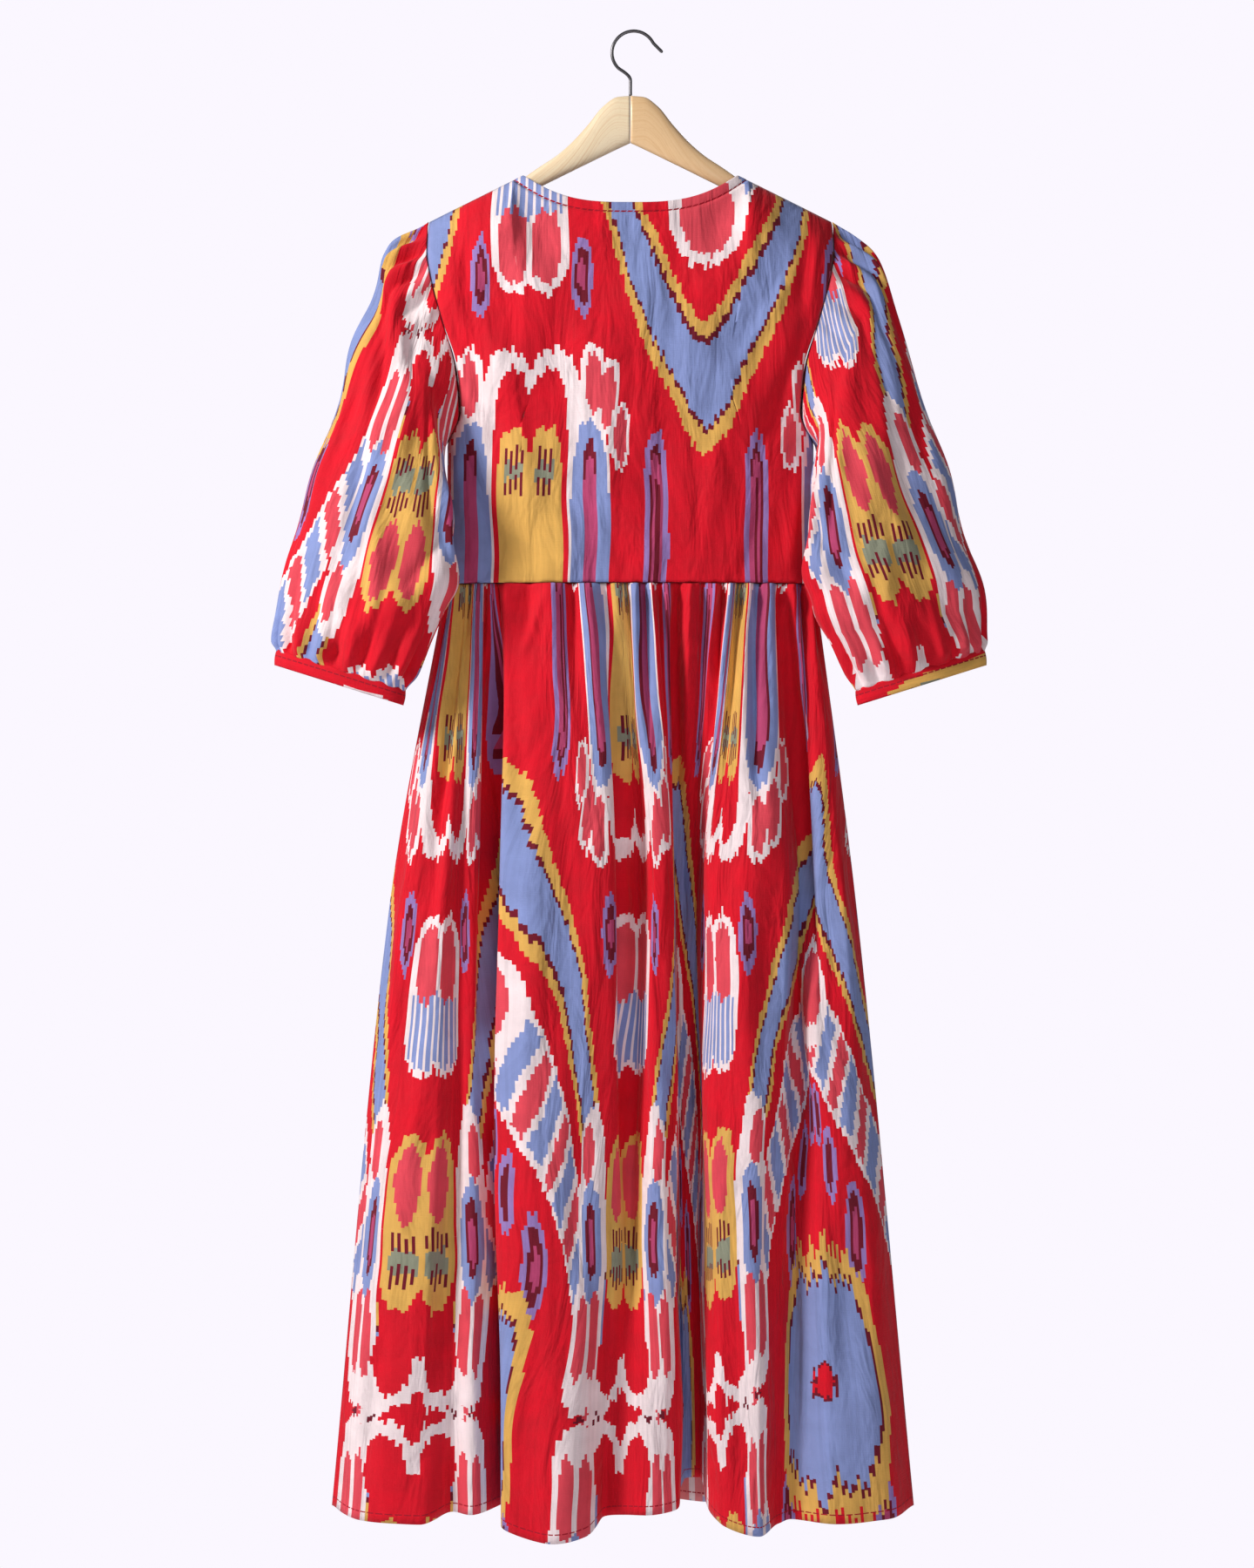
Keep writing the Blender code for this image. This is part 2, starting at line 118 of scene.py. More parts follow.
# Fold lines of the skirt, a row for each ridge or valley from side seam to side seam
FOLD = ("flat x_waist x_mid x_hem out_mid out_hem z_hem", MM)
BACK_FOLDS = table(*FOLD, [
    (0, -169, -222, -274, 0, 0, -1352), (48, -162, -205, -247, 28, 34, -1358),
    (108, -151, -170, -191, 41, 48, -1359), (144, -143, -155, -162, 29, 28, -1352),
    (172, -137, -143, -144, 30, 40, -1352), (220, -127, -117, -108, -3, 0, -1346),
    (268, -119, -124, -116, 38, 48, -1360), (316, -85, -80, -71, 53, 67, -1372),
    (356, -58, -44, -40, 51, 56, -1368), (396, -30, -8, -25, 43, 30, -1356),
    (428, -8, 6, -6, 12, 40, -1352), (474, 10, 21, 22, 40, 48, -1350),
    (512, 23, 40, 43, 32, 40, -1346), (588, 46, 41, 48, -6, -8, -1330),
    (664, 70, 61, 64, -6, -8, -1328), (724, 90, 68, 72, 26, 36, -1350),
    (748, 98, 76, 84, 39, 50, -1360), (794, 114, 107, 116, 50, 55, -1368),
    (840, 133, 140, 135, 42, 30, -1362), (864, 143, 152, 146, 10, 30, -1358),
    (908, 155, 168, 185, 34, 50, -1358), (958, 163, 193, 233, 32, 40, -1356),
    (1000, 169, 208, 260, 0, 0, -1352),
])
FRONT_FOLDS = table(*FOLD, [
    (0, -169, -222, -274, 0, 0, -1352), (55, -160, -204, -246, 30, 38, -1357),
    (115, -150, -176, -200, 42, 50, -1360), (165, -138, -158, -168, 22, 20, -1350),
    (225, -122, -136, -140, 44, 60, -1358), (300, -90, -92, -84, 52, 68, -1364),
    (350, -70, -66, -62, 32, 28, -1352), (410, -44, -46, -40, 48, 60, -1358),
    (470, -22, -14, -2, 52, 66, -1362), (520, -4, 8, 16, 31, 27, -1352),
    (590, 22, 26, 38, 48, 62, -1360), (665, 50, 66, 86, 54, 72, -1366),
    (720, 72, 84, 104, 33, 30, -1352), (780, 96, 104, 126, 46, 60, -1360),
    (850, 122, 140, 172, 44, 54, -1362), (895, 138, 158, 190, 26, 26, -1352),
    (950, 152, 182, 228, 33, 40, -1357), (1000, 169, 208, 260, 0, 0, -1352),
])

# Outer and inner edge of a sleeve from the armhole to the top of its cuff
SLEEVE = table("share outer_x outer_y outer_z inner_x inner_y inner_z to_back to_front tuck", MM, [
    (0, 185, 14, -172, 168, 4, -380, 32, 32, 0), (120, 223, 10, -199, 180, -6, -404, 38, 34, 12),
    (250, 242, 2, -256, 173, -28, -436, 40, 30, 26),
    (400, 266, -4, -328, 161, -40, -468, 42, 26, 14),
    (550, 291, -8, -408, 158, -45, -502, 42, 26, 4),
    (720, 314, -14, -488, 166, -47, -534, 40, 26, 0),
    (880, 325, -20, -548, 184, -46, -571, 34, 26, 0),
    (1000, 322, -26, -569, 204, -44, -606, 22, 22, 0),
])
SCOOP_FADE = 0.30
SLEEVE_LENGTH = 0.44
SEAM_SHARE = 0.012           # share of a sleeve over which its armhole seam lets go
CUFF_HEIGHT = 0.013
CUFF_TUCK = 0.0016           # how far the cuff runs up inside the sleeve
CUFF_SLANT = 0.14
CUFF_PLUMP = 0.0008          # how far a cuff swells in its middle

# How the cloth is held: share of the gathers' depth that is left at the seam, and over how
# many metres, or what share of a sleeve, the stitches let go
WAIST_STITCHES = (0.45, 0.012)
SLEEVE_STITCHES = (0.12, 0.06)

# Size of the uneven swell across and along the cloth, and how much deeper it is in a sleeve
SKIRT_SWELL = (0.075, 0.34)
BODICE_SWELL = (0.11, 0.16)
SLEEVE_SWELL = (1.1, 0.13)
SLEEVE_SWOLLEN = 1.5

# How far in from a seam the relief starts: below the waist in metres, and as a share of the
# panel at its sides; then the same for the bodice's sides, waist and shoulder, and for the
# head and the cuff of a sleeve
SWELL_START = 0.05
SIDE_SHARE = 0.03
CALM_SIDE = 0.10
CALM_WAIST = 0.02
CALM_SHOULDER = 0.03
CALM_HEAD = 0.10
CALM_CUFF = 0.06

# Hanger, a row for each section of one arm from the middle to its end
ARM = table("x top bottom half_thick", TENTH, [
    (1.5, -580, -1015, 62), (120, -590, -1070, 62), (255, -680, -1135, 62), (390, -845, -1200, 62),
    (540, -1008, -1272, 60), (690, -1135, -1345, 56), (800, -1205, -1398, 51),
    (920, -1285, -1455, 47), (1020, -1356, -1500, 46), (1400, -1532, -1680, 48),
    (1640, -1645, -1790, 48), (1720, -1700, -1780, 32),
])
ARM_POWER = 2.3
WIRE = 0.0030
HOOK_RADIUS = 0.0200
HOOK_X = 0.003
STEM_TOP = -0.0425
HOOK_TAIL = 0.0085
BLUNT = 0.06                 # how far from its tip the wire's round end is cut off
GRAIN_SHIFT = 0.3            # so that the arms show different boards

# Gathers under the waist seam: place across the flat panel, depth (a trough is below zero),
# half width as a share of the panel, and how far down they run
GATHER = ("flat depth width run", (MM, TENTH, TENTH, MM))
BACK_GATHERS = table(*GATHER, [
    (30, -51, 98, 103), (72, 46, 112, 138), (126, -61, 84, 81), (160, 42, 98, 172),
    (196, -70, 98, 184), (252, -65, 84, 127), (280, 51, 98, 69), (306, -38, 70, 52),
    (334, 61, 126, 115), (362, -78, 77, 86), (382, 46, 84, 57), (404, -70, 84, 149),
    (420, 61, 70, 69), (438, -74, 70, 103), (458, 70, 84, 161), (480, -84, 77, 92),
    (500, 55, 77, 69), (522, -78, 98, 138), (548, 65, 98, 103), (580, -55, 98, 69),
    (614, 55, 126, 127), (650, -70, 84, 92), (684, 70, 98, 81), (704, -84, 77, 127),
    (728, 61, 84, 57), (752, -78, 77, 161), (776, 74, 98, 115), (800, -70, 84, 81),
    (824, 55, 84, 69), (846, -78, 84, 149), (878, 61, 112, 92), (916, -65, 98, 115),
    (952, 42, 98, 81), (978, -38, 84, 69),
])
FRONT_GATHERS = table(*GATHER, [
    (26, 42, 98, 81), (66, -55, 98, 115), (98, 61, 112, 149), (130, -51, 84, 69),
    (158, -74, 84, 161), (188, 61, 98, 92), (220, -65, 84, 69), (246, 70, 112, 138),
    (276, -78, 77, 115), (300, 51, 84, 57), (326, -70, 84, 92), (352, -61, 84, 172),
    (380, 70, 98, 103), (406, -74, 77, 69), (432, 61, 84, 127), (462, -78, 84, 149),
    (490, 70, 98, 81), (516, -84, 84, 115), (544, 55, 84, 69), (572, -70, 98, 138),
    (604, 70, 112, 161), (634, -65, 84, 69), (662, 51, 84, 92), (694, -78, 84, 127),
    (722, -70, 84, 81), (750, 74, 98, 115), (782, -70, 84, 149), (812, 55, 98, 69),
    (840, -74, 84, 103), (872, 65, 112, 127), (904, -70, 98, 92), (940, 46, 98, 69),
    (972, -42, 84, 81),
])

# Creases of a panel: x and z of its middle, length, half width, depth (a trough is below
# zero) and lean in degrees from upright, where a crease that leans by more than 0 runs
# down to the right
CREASE = ("x z length width depth lean", (MM, MM, MM, TENTH, TENTH, 1))
SKIRT_BACK_CREASES = table(*CREASE, [
    (-88, -545, 55, 40, 33, -18), (-104, -640, 190, 80, -27, 3), (-62, -700, 260, 100, -33, 4),
    (-30, -610, 150, 60, 30, 5), (-92, -900, 300, 140, 36, -2), (-47, -1010, 340, 110, -36, 4),
    (-90, -1210, 280, 120, -33, -4), (-20, -1190, 260, 90, 33, -5), (16, -760, 260, 70, -30, 3),
    (28, -1080, 330, 70, 30, 1), (94, -700, 240, 80, -33, -3), (118, -640, 180, 70, 30, 5),
    (104, -930, 320, 110, 39, 2), (128, -1050, 260, 80, -33, -4), (96, -1210, 250, 90, -30, 2),
    (166, -900, 300, 80, 27, 6), (190, -1120, 330, 120, -33, 8), (214, -1240, 200, 100, 30, 10),
    (-182, -820, 300, 90, -30, -7), (-205, -1080, 320, 100, 33, -7),
    (-178, -1230, 220, 90, -33, -5), (-235, -1260, 160, 80, -24, -9),
    (-150, -980, 220, 60, 24, -2), (150, -560, 80, 50, -27, 14), (-126, -720, 400, 65, -130, -2),
    (-6, -800, 540, 60, -130, 1), (44, -640, 260, 55, -120, 2), (158, -720, 360, 65, -130, 4),
    (-164, -620, 220, 55, -80, -6), (112, -610, 190, 55, -80, 3),
])
SKIRT_FRONT_CREASES = table(*CREASE, [
    (-150, -640, 160, 70, -30, -5), (-112, -760, 260, 90, 33, -3), (-66, -620, 140, 60, -27, 4),
    (-90, -960, 320, 120, -36, -2), (-40, -880, 280, 90, 33, 2), (-6, -700, 220, 70, -33, 5),
    (30, -960, 330, 110, 36, 3), (62, -740, 240, 90, -30, 6), (100, -900, 290, 80, 33, 4),
    (132, -680, 200, 70, -30, 8), (150, -1080, 320, 120, -36, 6), (204, -1180, 240, 100, 30, 9),
    (-180, -960, 300, 100, 30, -8), (-214, -1180, 260, 100, -33, -9),
    (-120, -1180, 280, 110, 33, -4), (-30, -1200, 260, 110, -33, 1), (60, -1220, 240, 100, 30, 3),
    (-85, -560, 70, 50, 27, 20),
])
BODICE_BACK_CREASES = table(*CREASE, [
    (-150, -440, 130, 90, 42, 8), (-128, -470, 90, 60, -32, 12), (-140, -330, 120, 80, -35, 22),
    (-105, -360, 170, 110, 32, 14), (-60, -300, 200, 130, -29, 4), (-20, -400, 180, 120, 32, -3),
    (36, -310, 210, 130, -32, -4), (80, -390, 180, 110, 29, -8), (140, -330, 120, 80, -38, -22),
    (122, -270, 100, 70, 32, -30), (152, -440, 120, 80, 42, -9), (110, -470, 80, 70, -29, -10),
    (-150, -230, 70, 60, -29, 6), (158, -225, 70, 60, -29, -6), (-40, -480, 60, 70, -22, 4),
    (20, -480, 50, 60, 22, -6),
])
BODICE_FRONT_CREASES = table(*CREASE, [
    (-148, -430, 120, 80, 36, 10), (-136, -330, 120, 80, -33, 26), (-100, -400, 160, 110, -27, 12),
    (-50, -370, 160, 120, 30, 6), (10, -420, 130, 110, -24, -2), (60, -360, 160, 120, 27, -8),
    (104, -400, 160, 100, -27, -12), (138, -330, 120, 80, -33, -26), (150, -430, 110, 80, 36, -10),
    (-128, -240, 90, 80, 27, 16), (130, -240, 90, 80, 27, -16),
])

# Gathers of a sleeve: turn round it in degrees (90 is its back), depth, half width in
# degrees and how far they run, as a share of the sleeve
PLEAT = ("turn depth width run", (1, TENTH, 10, 100))
HEAD_PLEATS = table(*PLEAT, [
    (-62, -35, 40, 11), (-50, 32, 40, 13), (-38, -41, 36, 18), (-26, 38, 40, 13),
    (-14, -41, 36, 15), (-4, 41, 36, 20), (6, -46, 34, 15), (15, 41, 36, 22), (24, -49, 34, 18),
    (33, 43, 36, 14), (42, -46, 36, 24), (52, 38, 40, 17), (62, -41, 38, 13), (72, 30, 40, 11),
    (82, -27, 40, 9),
])
CUFF_PLEATS = table(*PLEAT, [
    (8, 32, 40, 14), (18, -45, 36, 19), (28, 37, 40, 12), (38, -50, 36, 26), (50, 42, 42, 18),
    (61, -45, 36, 14), (72, 47, 44, 24), (84, -52, 38, 20), (95, 40, 42, 13), (106, -47, 36, 24),
    (118, 45, 44, 19), (130, -50, 38, 16), (142, 37, 42, 22), (154, -42, 38, 14),
    (166, 32, 42, 12), (178, -37, 40, 17), (192, 35, 44, 14), (206, -42, 40, 22),
    (220, 40, 44, 17), (234, -45, 40, 13), (248, 42, 46, 23), (262, -45, 40, 18),
    (276, 40, 44, 14), (290, -45, 40, 20), (304, 37, 44, 16), (318, -42, 40, 14),
    (332, 37, 44, 19), (346, -37, 40, 14),
])
SLEEVE_CREASES = table("turn share length width depth lean", (1, 100, MM, TENTH, TENTH, 1), [
    (58, 36, 130, 80, -47, 10), (84, 48, 150, 90, 47, -8), (112, 34, 120, 70, -47, 16),
    (128, 56, 130, 80, -51, -10), (70, 66, 140, 90, -47, 6), (98, 72, 120, 80, 47, 12),
    (146, 42, 110, 70, 44, 20), (32, 50, 140, 80, 40, 4), (230, 40, 140, 90, -47, -10),
    (262, 55, 150, 90, 47, 8), (292, 38, 130, 80, -44, 12), (250, 74, 120, 80, -44, -6),
    (318, 62, 130, 80, 40, 6),
])

# Where the print's lengthways axis runs down the back of each sleeve, x against z
SLEEVE_AXIS = {
    1.0: table("z x", MM, [(-640, 282), (-508, 242), (-373, 202), (-284, 183), (-150, 170)]),
    -1.0: table("z x", MM, [(-640, -245), (-570, -226), (-450, -199), (-362, -184), (-298, -177),
                            (-150, -166)]),
}

# Where the print starts on each piece, across and along, or along alone on sleeves and cuffs
SLEEVE_PRINT = {1.0: 0.060, -1.0: 0.401}
CUFF_PRINT = {1.0: 0.020, -1.0: 0.088}
CUFF_HALF = 0.135            # half of the way round a cuff
SKIRT_PRINT = {False: (0.108, 0.075), True: (0.268, 0.075)}
BODICE_PRINT = {False: (0.091, 0.4724), True: (0.075, 0.4724)}
NO_EDGE = 1.0                # so far from its edge that a piece shows no topstitching

# The print: a half repeat runs 160 mm across from the arch axis to the arrow axis and
# 680 mm along, and both ways it is mirrored
HALF_REPEAT_ACROSS = 0.160
HALF_REPEAT_ALONG = 0.680
BUNDLE = 0.0024              # width of the bundles that warp threads are tied in
WANDER = 0.010               # how far a bundle wanders sideways, all in all
SLIP = 0.0052                # how far a bundle slips along the cloth
LOOSE_ACROSS = 1700.0        # how fast that slip changes from bundle to bundle
LOOSE_ALONG = 26.0           # and along one bundle
TOOTH = 4.5                  # half length in mm of the comb teeth at a jagged edge
RAGGED = 28.0                # half length in mm of the slips at a ragged edge
STRIPE = 3.6                 # half repeat in mm of the striped foot
STRIPE_BLUE = 2.2            # how much of that is blue
THREAD_WIDTH = 0.0011
STITCH_GAP = 0.22            # bare share of each stitch in the topstitching

# Motifs in painting order: place across and along in mm, half width, half height, roundness
# across and along (even powers), colour, and how its ends are drawn where that isn't plain:
# combed, its teeth only, or ragged
MOTIFS = [
    # long white arch with two heads, and its red field
    (20, 0, 25, 177, 2, 8, "white"), (15, 0, 18, 158, 2, 6, "red"),
    # blue bar beside it in its white edge, and the coral ovals at its head
    (55, 145, 12, 35, 2, 4, "white"), (69, 134, 11, 34, 2, 4, "white"),
    (82, 98, 9, 29, 2, 4, "white"), (53, 0, 20, 120, 2, 6, "white"),
    (54, 0, 17, 112, 2, 4, "blue"), (54, 0, 6, 96, 2, 8, "maroon"),
    (54, 0, 5, 80, 2, 8, "magenta"), (56, 145, 8, 28, 2, 2, "coral"),
    (70, 133, 7, 28, 2, 2, "coral"), (83, 97, 6, 24, 2, 2, "coral"),
    # ochre arch with combed eyes
    (14, 0, 14, 106, 2, 8, "ochre"), (13, 66, 9, 9, 4, 4, "moss"),
    (13, 78, 9, 10, 2, 4, "maroon", "teeth"), (13, 54, 8, 9, 4, 4, "maroon", "teeth"),
    # lozenge above the long arch
    (45, 244, 10, 36, 2, 2, "lavender"), (45, 244, 6, 26, 2, 2, "maroon"),
    (45, 244, 4, 14, 2, 2, "magenta"),
    # pair of coral heads on a striped foot
    (14, 300, 20, 74, 2, 4, "white"), (14, 330, 15, 36, 2, 8, "stripes"),
    (14, 271, 12, 35, 2, 4, "coral"),
    # second ochre arch with coral eyes and combs
    (14, 505, 16, 80, 2, 4, "ochre"), (13, 470, 10, 35, 2, 2, "coral"),
    (13, 542, 10, 12, 4, 6, "moss"), (13, 522, 10, 9, 4, 4, "maroon", "teeth"),
    (14, 554, 10, 8, 4, 4, "maroon", "teeth"),
    # blue oval in its white leaf, and the coral ovals at its ends
    (48, 516, 18, 118, 2, 2, "white"), (53, 442, 11, 38, 2, 2, "white"),
    (51, 610, 20, 66, 2, 4, "white"), (49, 522, 13, 56, 2, 2, "blue"),
    (49, 520, 6, 34, 2, 4, "maroon"), (49, 522, 3, 22, 2, 4, "magenta"),
    (54, 442, 7, 27, 2, 2, "coral"), (43, 606, 6, 40, 2, 4, "coral"),
    (59, 608, 6, 38, 2, 4, "coral"),
    # white bands that cross on the mirror line, with a red star between them
    (0, 680, 40, 52, 2, 2, "white"), (20, 632, 15, 30, 2, 2, "red"), (0, 680, 26, 9, 2, 2, "red"),
    (0, 680, 8, 24, 2, 2, "red"), (33, 680, 4, 3, 2, 2, "maroon"), (51, 680, 4, 3, 2, 2, "maroon"),
    # purple bars on both sides of the arrow
    (115, 0, 11, 101, 2, 6, "lavender"), (115, 0, 6, 88, 2, 8, "maroon"),
    (115, 0, 5, 80, 2, 8, "magenta"), (115, 0, 2, 62, 2, 8, "maroon"),
    # coral shield inside the arrow
    (160, 308, 36, 56, 2, 2, "white"), (160, 302, 25, 39, 2, 2, "coral"),
    # three lozenges under the leaves
    (153, 430, 7, 31, 2, 2, "lavender"), (153, 430, 4, 20, 2, 2, "maroon"),
    (138, 478, 8, 38, 2, 2, "lavender"), (138, 478, 4, 26, 2, 2, "maroon"),
    (117, 545, 10, 50, 2, 2, "lavender"), (117, 545, 6, 38, 2, 2, "maroon"),
    (117, 545, 3, 20, 2, 2, "magenta"),
    # medallion on the mirror line
    (160, 680, 54, 122, 4, 2, "ochre", "ragged"), (160, 680, 45, 99, 4, 2, "maroon", "ragged"),
    (160, 680, 43, 94, 4, 2, "blue", "ragged"), (160, 680, 13, 12, 2, 2, "maroon", "combed"),
    (160, 680, 8, 18, 2, 2, "maroon"), (160, 680, 10, 9, 2, 2, "red", "combed"),
    (160, 680, 6, 15, 2, 2, "red"),
]

# Upper edge of the arrow: from its axis outwards, mm across against mm along
ARROW = [(0.0, 81), (14, 95), (28, 123), (42, 151), (56, 179), (67, 207), (78, 241), (87, 274),
         (95, 305), (106, 350), (117, 410), (128, 490), (136, 800), (160.0, 800.0)]

# Bands of the arrow below that edge, from its start in mm, and where leaves cross them
ARROW_BANDS = [(0, "ochre"), (20, "maroon"), (26, "blue"), (96, "maroon"), (104, "ochre"),
               (122, "red"), (172, "white"), (296, "white"), (305, "red")]
BAND_REACH = 340.0
LEAVES = (182.0, 296.0)
LEAF_BANDS = [(0.0, "white"), (0.08, "coral"), (0.40, "white"), (0.52, "blue"), (0.92, "white")]
LEAF_SLANT = 2.7
LEAF_STEP = 118.0            # mm along from leaf to leaf

# How far the print of the back skirt is drawn sideways into the folds, in mm: a row for each
# place across the flat panel, at four levels from the waist to the hem
SLIDE_LEVELS = (0.12, 0.34, 0.70, 0.93)
BACK_SLIDE = table("flat waist middle low hem", MM, [
    (0, 14, 8, 29, 31), (48, 12, 6, 24, 24), (108, -4, 0, 6, 5), (172, -6, 0, -14, -14),
    (220, -3, 3, -8, 6), (268, -10, 10, 6, 38), (316, -30, -4, 5, 42), (346, -33, -4, 10, 36),
    (383, -9, 0, 16, 18), (424, -12, 0, 13, 7), (441, 22, 0, 9, 2), (479, 3, 0, 2, -6),
    (566, -3, 0, 4, -6), (618, -24, 0, 6, -4), (714, -45, -4, 10, -1), (734, -46, -4, 10, 0),
    (742, -15, 0, 10, 0), (777, 5, 2, 4, 2), (809, -7, 0, 1, 4), (840, -19, -4, 5, 9),
    (880, -33, -6, 8, 8), (894, -37, 24, 12, 6), (920, -46, 26, 10, 0), (1000, -60, 14, -4, -16),
])

# How far the print is drawn up at the right of the back skirt's hem, in metres, and where
# that starts and over how much it grows, across and down, as shares of the flat panel
RIGHT_RISE = 0.030
RISE_FROM, RISE_WIDE = 0.70, 0.16
RISE_TOP, RISE_DEEP = 0.3, 0.4

# Studio: the floor, the place that the lights face, and the camera
FLOOR_Z = -1.62
LIT_PLACE = (0.0, 0.0, -0.65)
CAMERA_AWAY = 2.9
VIEW_TALL = 1.44             # height of the view at the dress
SENSOR = 24.0                # height of the sensor in mm


def smooth(share):
    """Ease from 0 to 1: three squares less two cubes."""
    share = np.clip(share, 0.0, 1.0)
    return share * share * (3.0 - 2.0 * share)


def harmonic(left, right):
    """Harmonic mean of two slopes, or 0 where they turn."""
    same = left * right > 0
    return np.where(same, 2.0 * left * right / np.where(same, left + right, 1.0), 0.0)


def cubic(share, first, last, leave, arrive, span):
    """Cubic step over a span, which leaves and arrives with the slopes that it is given."""
    curve = share * (1.0 - share) ** 2 * leave + share * share * (share - 1.0) * arrive
    return first + (last - first) * smooth(share) + curve * span


def monotone(at, knots, values):
    """Read a curve through the knots: cubic steps whose slopes are the harmonic means of the
    neighbouring slopes, so it never overshoots."""
    step = np.diff(knots)
    secant = np.diff(values) / step
    slope = np.concatenate([secant[:1], harmonic(secant[:-1], secant[1:]), secant[-1:]])
    at = np.clip(at, knots[0], knots[-1])
    cell = np.clip(np.searchsorted(knots, at) - 1, 0, len(step) - 1)
    share = (at - knots[cell]) / step[cell]
    return cubic(share, values[cell], values[cell + 1], slope[cell], slope[cell + 1], step[cell])


def read(rows, key, at):
    """Read every column of a table at places in its key column."""
    return {name: monotone(at, rows[key], values) for name, values in rows.items()}


def turns(count):
    """Even steps round a full turn."""
    return np.linspace(0.0, 2.0 * math.pi, count, endpoint=False)


def stretches(start, *ends):
    """Even steps from a start to each end in turn, each stretch with its own count."""
    parts = [np.array([start])]
    for end, count in ends:
        parts.append(np.linspace(parts[-1][-1], end, count)[1:])
    return np.concatenate(parts)


def section(across, depth, side_out=0.0):
    """Out of a rounded section: a superellipse from 0 in the middle to 1 at its side."""
    swell = (1.0 - np.clip(np.abs(across), 0.0, 1.0) ** SECTION_POWER) ** (1.0 / SECTION_POWER)
    return side_out + (depth - side_out) * swell


def sweep(x, z):
    """Sweep of the shoulders towards +Y: the square of x, fading down to the waist."""
    rise = np.clip((z - WAIST_Z) / (NECK_Z - WAIST_Z), 0.0, 1.0)
    return SWEEP * np.minimum(np.abs(x) / BODICE["half"][-1], 1.0) ** 2 * rise


def shoulder_z(x):
    """Height of the shoulder line: a straight fall from the neck."""
    return NECK_Z - (np.abs(x) - NECK_HALF) * SHOULDER_SLOPE


def neck_z(across, front, step_out):
    """Height of the neck curve: the shoulder's height less a drop that is a power of across."""
    drop = (FRONT_DROP if front else BACK_DROP) + step_out * (1.0 - SHOULDER_SLOPE)
    low = drop * (1.0 - np.abs(across) ** (2.0 if front else 3.0))
    return shoulder_z(NECK_HALF + step_out) - low


def neck_out(across):
    """Out of the neck curve: the root of one less the sixth power of across."""
    return NECK_OPEN * np.sqrt(1.0 - across ** 6)


def bodice_columns(neck_count, shoulder_count):
    """Places across a bodice panel, -1 to 1: cosine steps in the neck, even on the shoulders."""
    edge = (NECK_HALF + BAND_WIDTH) / BODICE["half"][-1]
    neck = -edge * np.cos(np.linspace(0.0, math.pi, neck_count + 1))
    outer = np.linspace(edge, 1.0, shoulder_count + 1)[1:]
    return np.concatenate([-outer[::-1], neck, outer])


def bodice_points(across, row_z, front):
    """Points of a bodice panel: x is across times the half width, z runs from the waist up to
    the neck or shoulder curve, and out blends that curve's out into the rounded section."""
    across, row_z = np.meshgrid(across, row_z)
    row = read(BODICE, "z", row_z)
    top_x = across * BODICE["half"][-1]
    in_neck = np.clip(top_x / (NECK_HALF + BAND_WIDTH), -1.0, 1.0)
    top_z = np.where(np.abs(in_neck) < 1.0,
                     neck_z(in_neck, front, BAND_WIDTH), shoulder_z(top_x))
    bottom = WAIST_Z + SEAM_GAP / 2
    x = across * row["half"]
    z = bottom + (top_z - bottom) * (row_z - WAIST_Z) / (BODICE["z"][-1] - WAIST_Z)
    below = top_z - z
    arch = np.sqrt(1.0 - (1.0 - np.clip(below / SHOULDER_ROUND, 0.0, 1.0)) ** 2)
    near_shoulder = np.abs(in_neck) ** 8
    rise = near_shoulder * arch + (1.0 - near_shoulder) * smooth(below / NECK_EASE)
    top_out = neck_out(in_neck)
    out = top_out + (section(across, row["depth"], row["open"]) - top_out) * rise
    out = np.maximum(out, EDGE_SHIFT)
    return np.stack([x, (out if front else -out) + sweep(x, z), z], axis=2)


def neck_band_points(count, steps):
    """Points of the ring that binds the neck: neck curves stepped in to the free edge, which
    start beneath the panels' edge and swell in the middle of the band by a sine."""
    turn = turns(count)[None, :]
    step_out = np.linspace(BAND_WIDTH + BAND_TUCK, 0.0, steps)[:, None]
    across = np.cos(turn) + 0.0 * step_out
    front = np.sin(turn) > 0.0
    x = (NECK_HALF + step_out) * across
    under = smooth((step_out - BAND_WIDTH + BAND_TUCK / 2.0) / (BAND_TUCK / 2.0))
    low = np.where(front, neck_z(across, True, step_out), neck_z(across, False, step_out))
    low = low - TUCK_DROP * under
    plump = BAND_PLUMP * np.sin(math.pi * np.minimum(step_out / BAND_WIDTH, 1.0))
    out = neck_out(across) + plump - TUCK_IN * under
    return np.stack([x, np.where(front, out, -out) + sweep(x, low), low], axis=2)


def between_levels(share, waist, middle, hem):
    """Carry a fold line's value from the waist through the middle to the hem: two cubic
    steps that meet with the harmonic mean of their slopes."""
    mid_share = (MID_Z - WAIST_Z) / (HEM_Z - WAIST_Z)
    upper = (middle - waist) / mid_share
    lower = (hem - middle) / (1.0 - mid_share)
    bend = harmonic(upper, lower)
    high = share <= mid_share
    span = np.where(high, mid_share, 1.0 - mid_share)
    part = np.where(high, share, share - mid_share) / span
    first, last = np.where(high, waist, middle), np.where(high, middle, hem)
    leave, arrive = np.where(high, upper, bend), np.where(high, bend, lower)
    return cubic(part, first, last, leave, arrive, span)


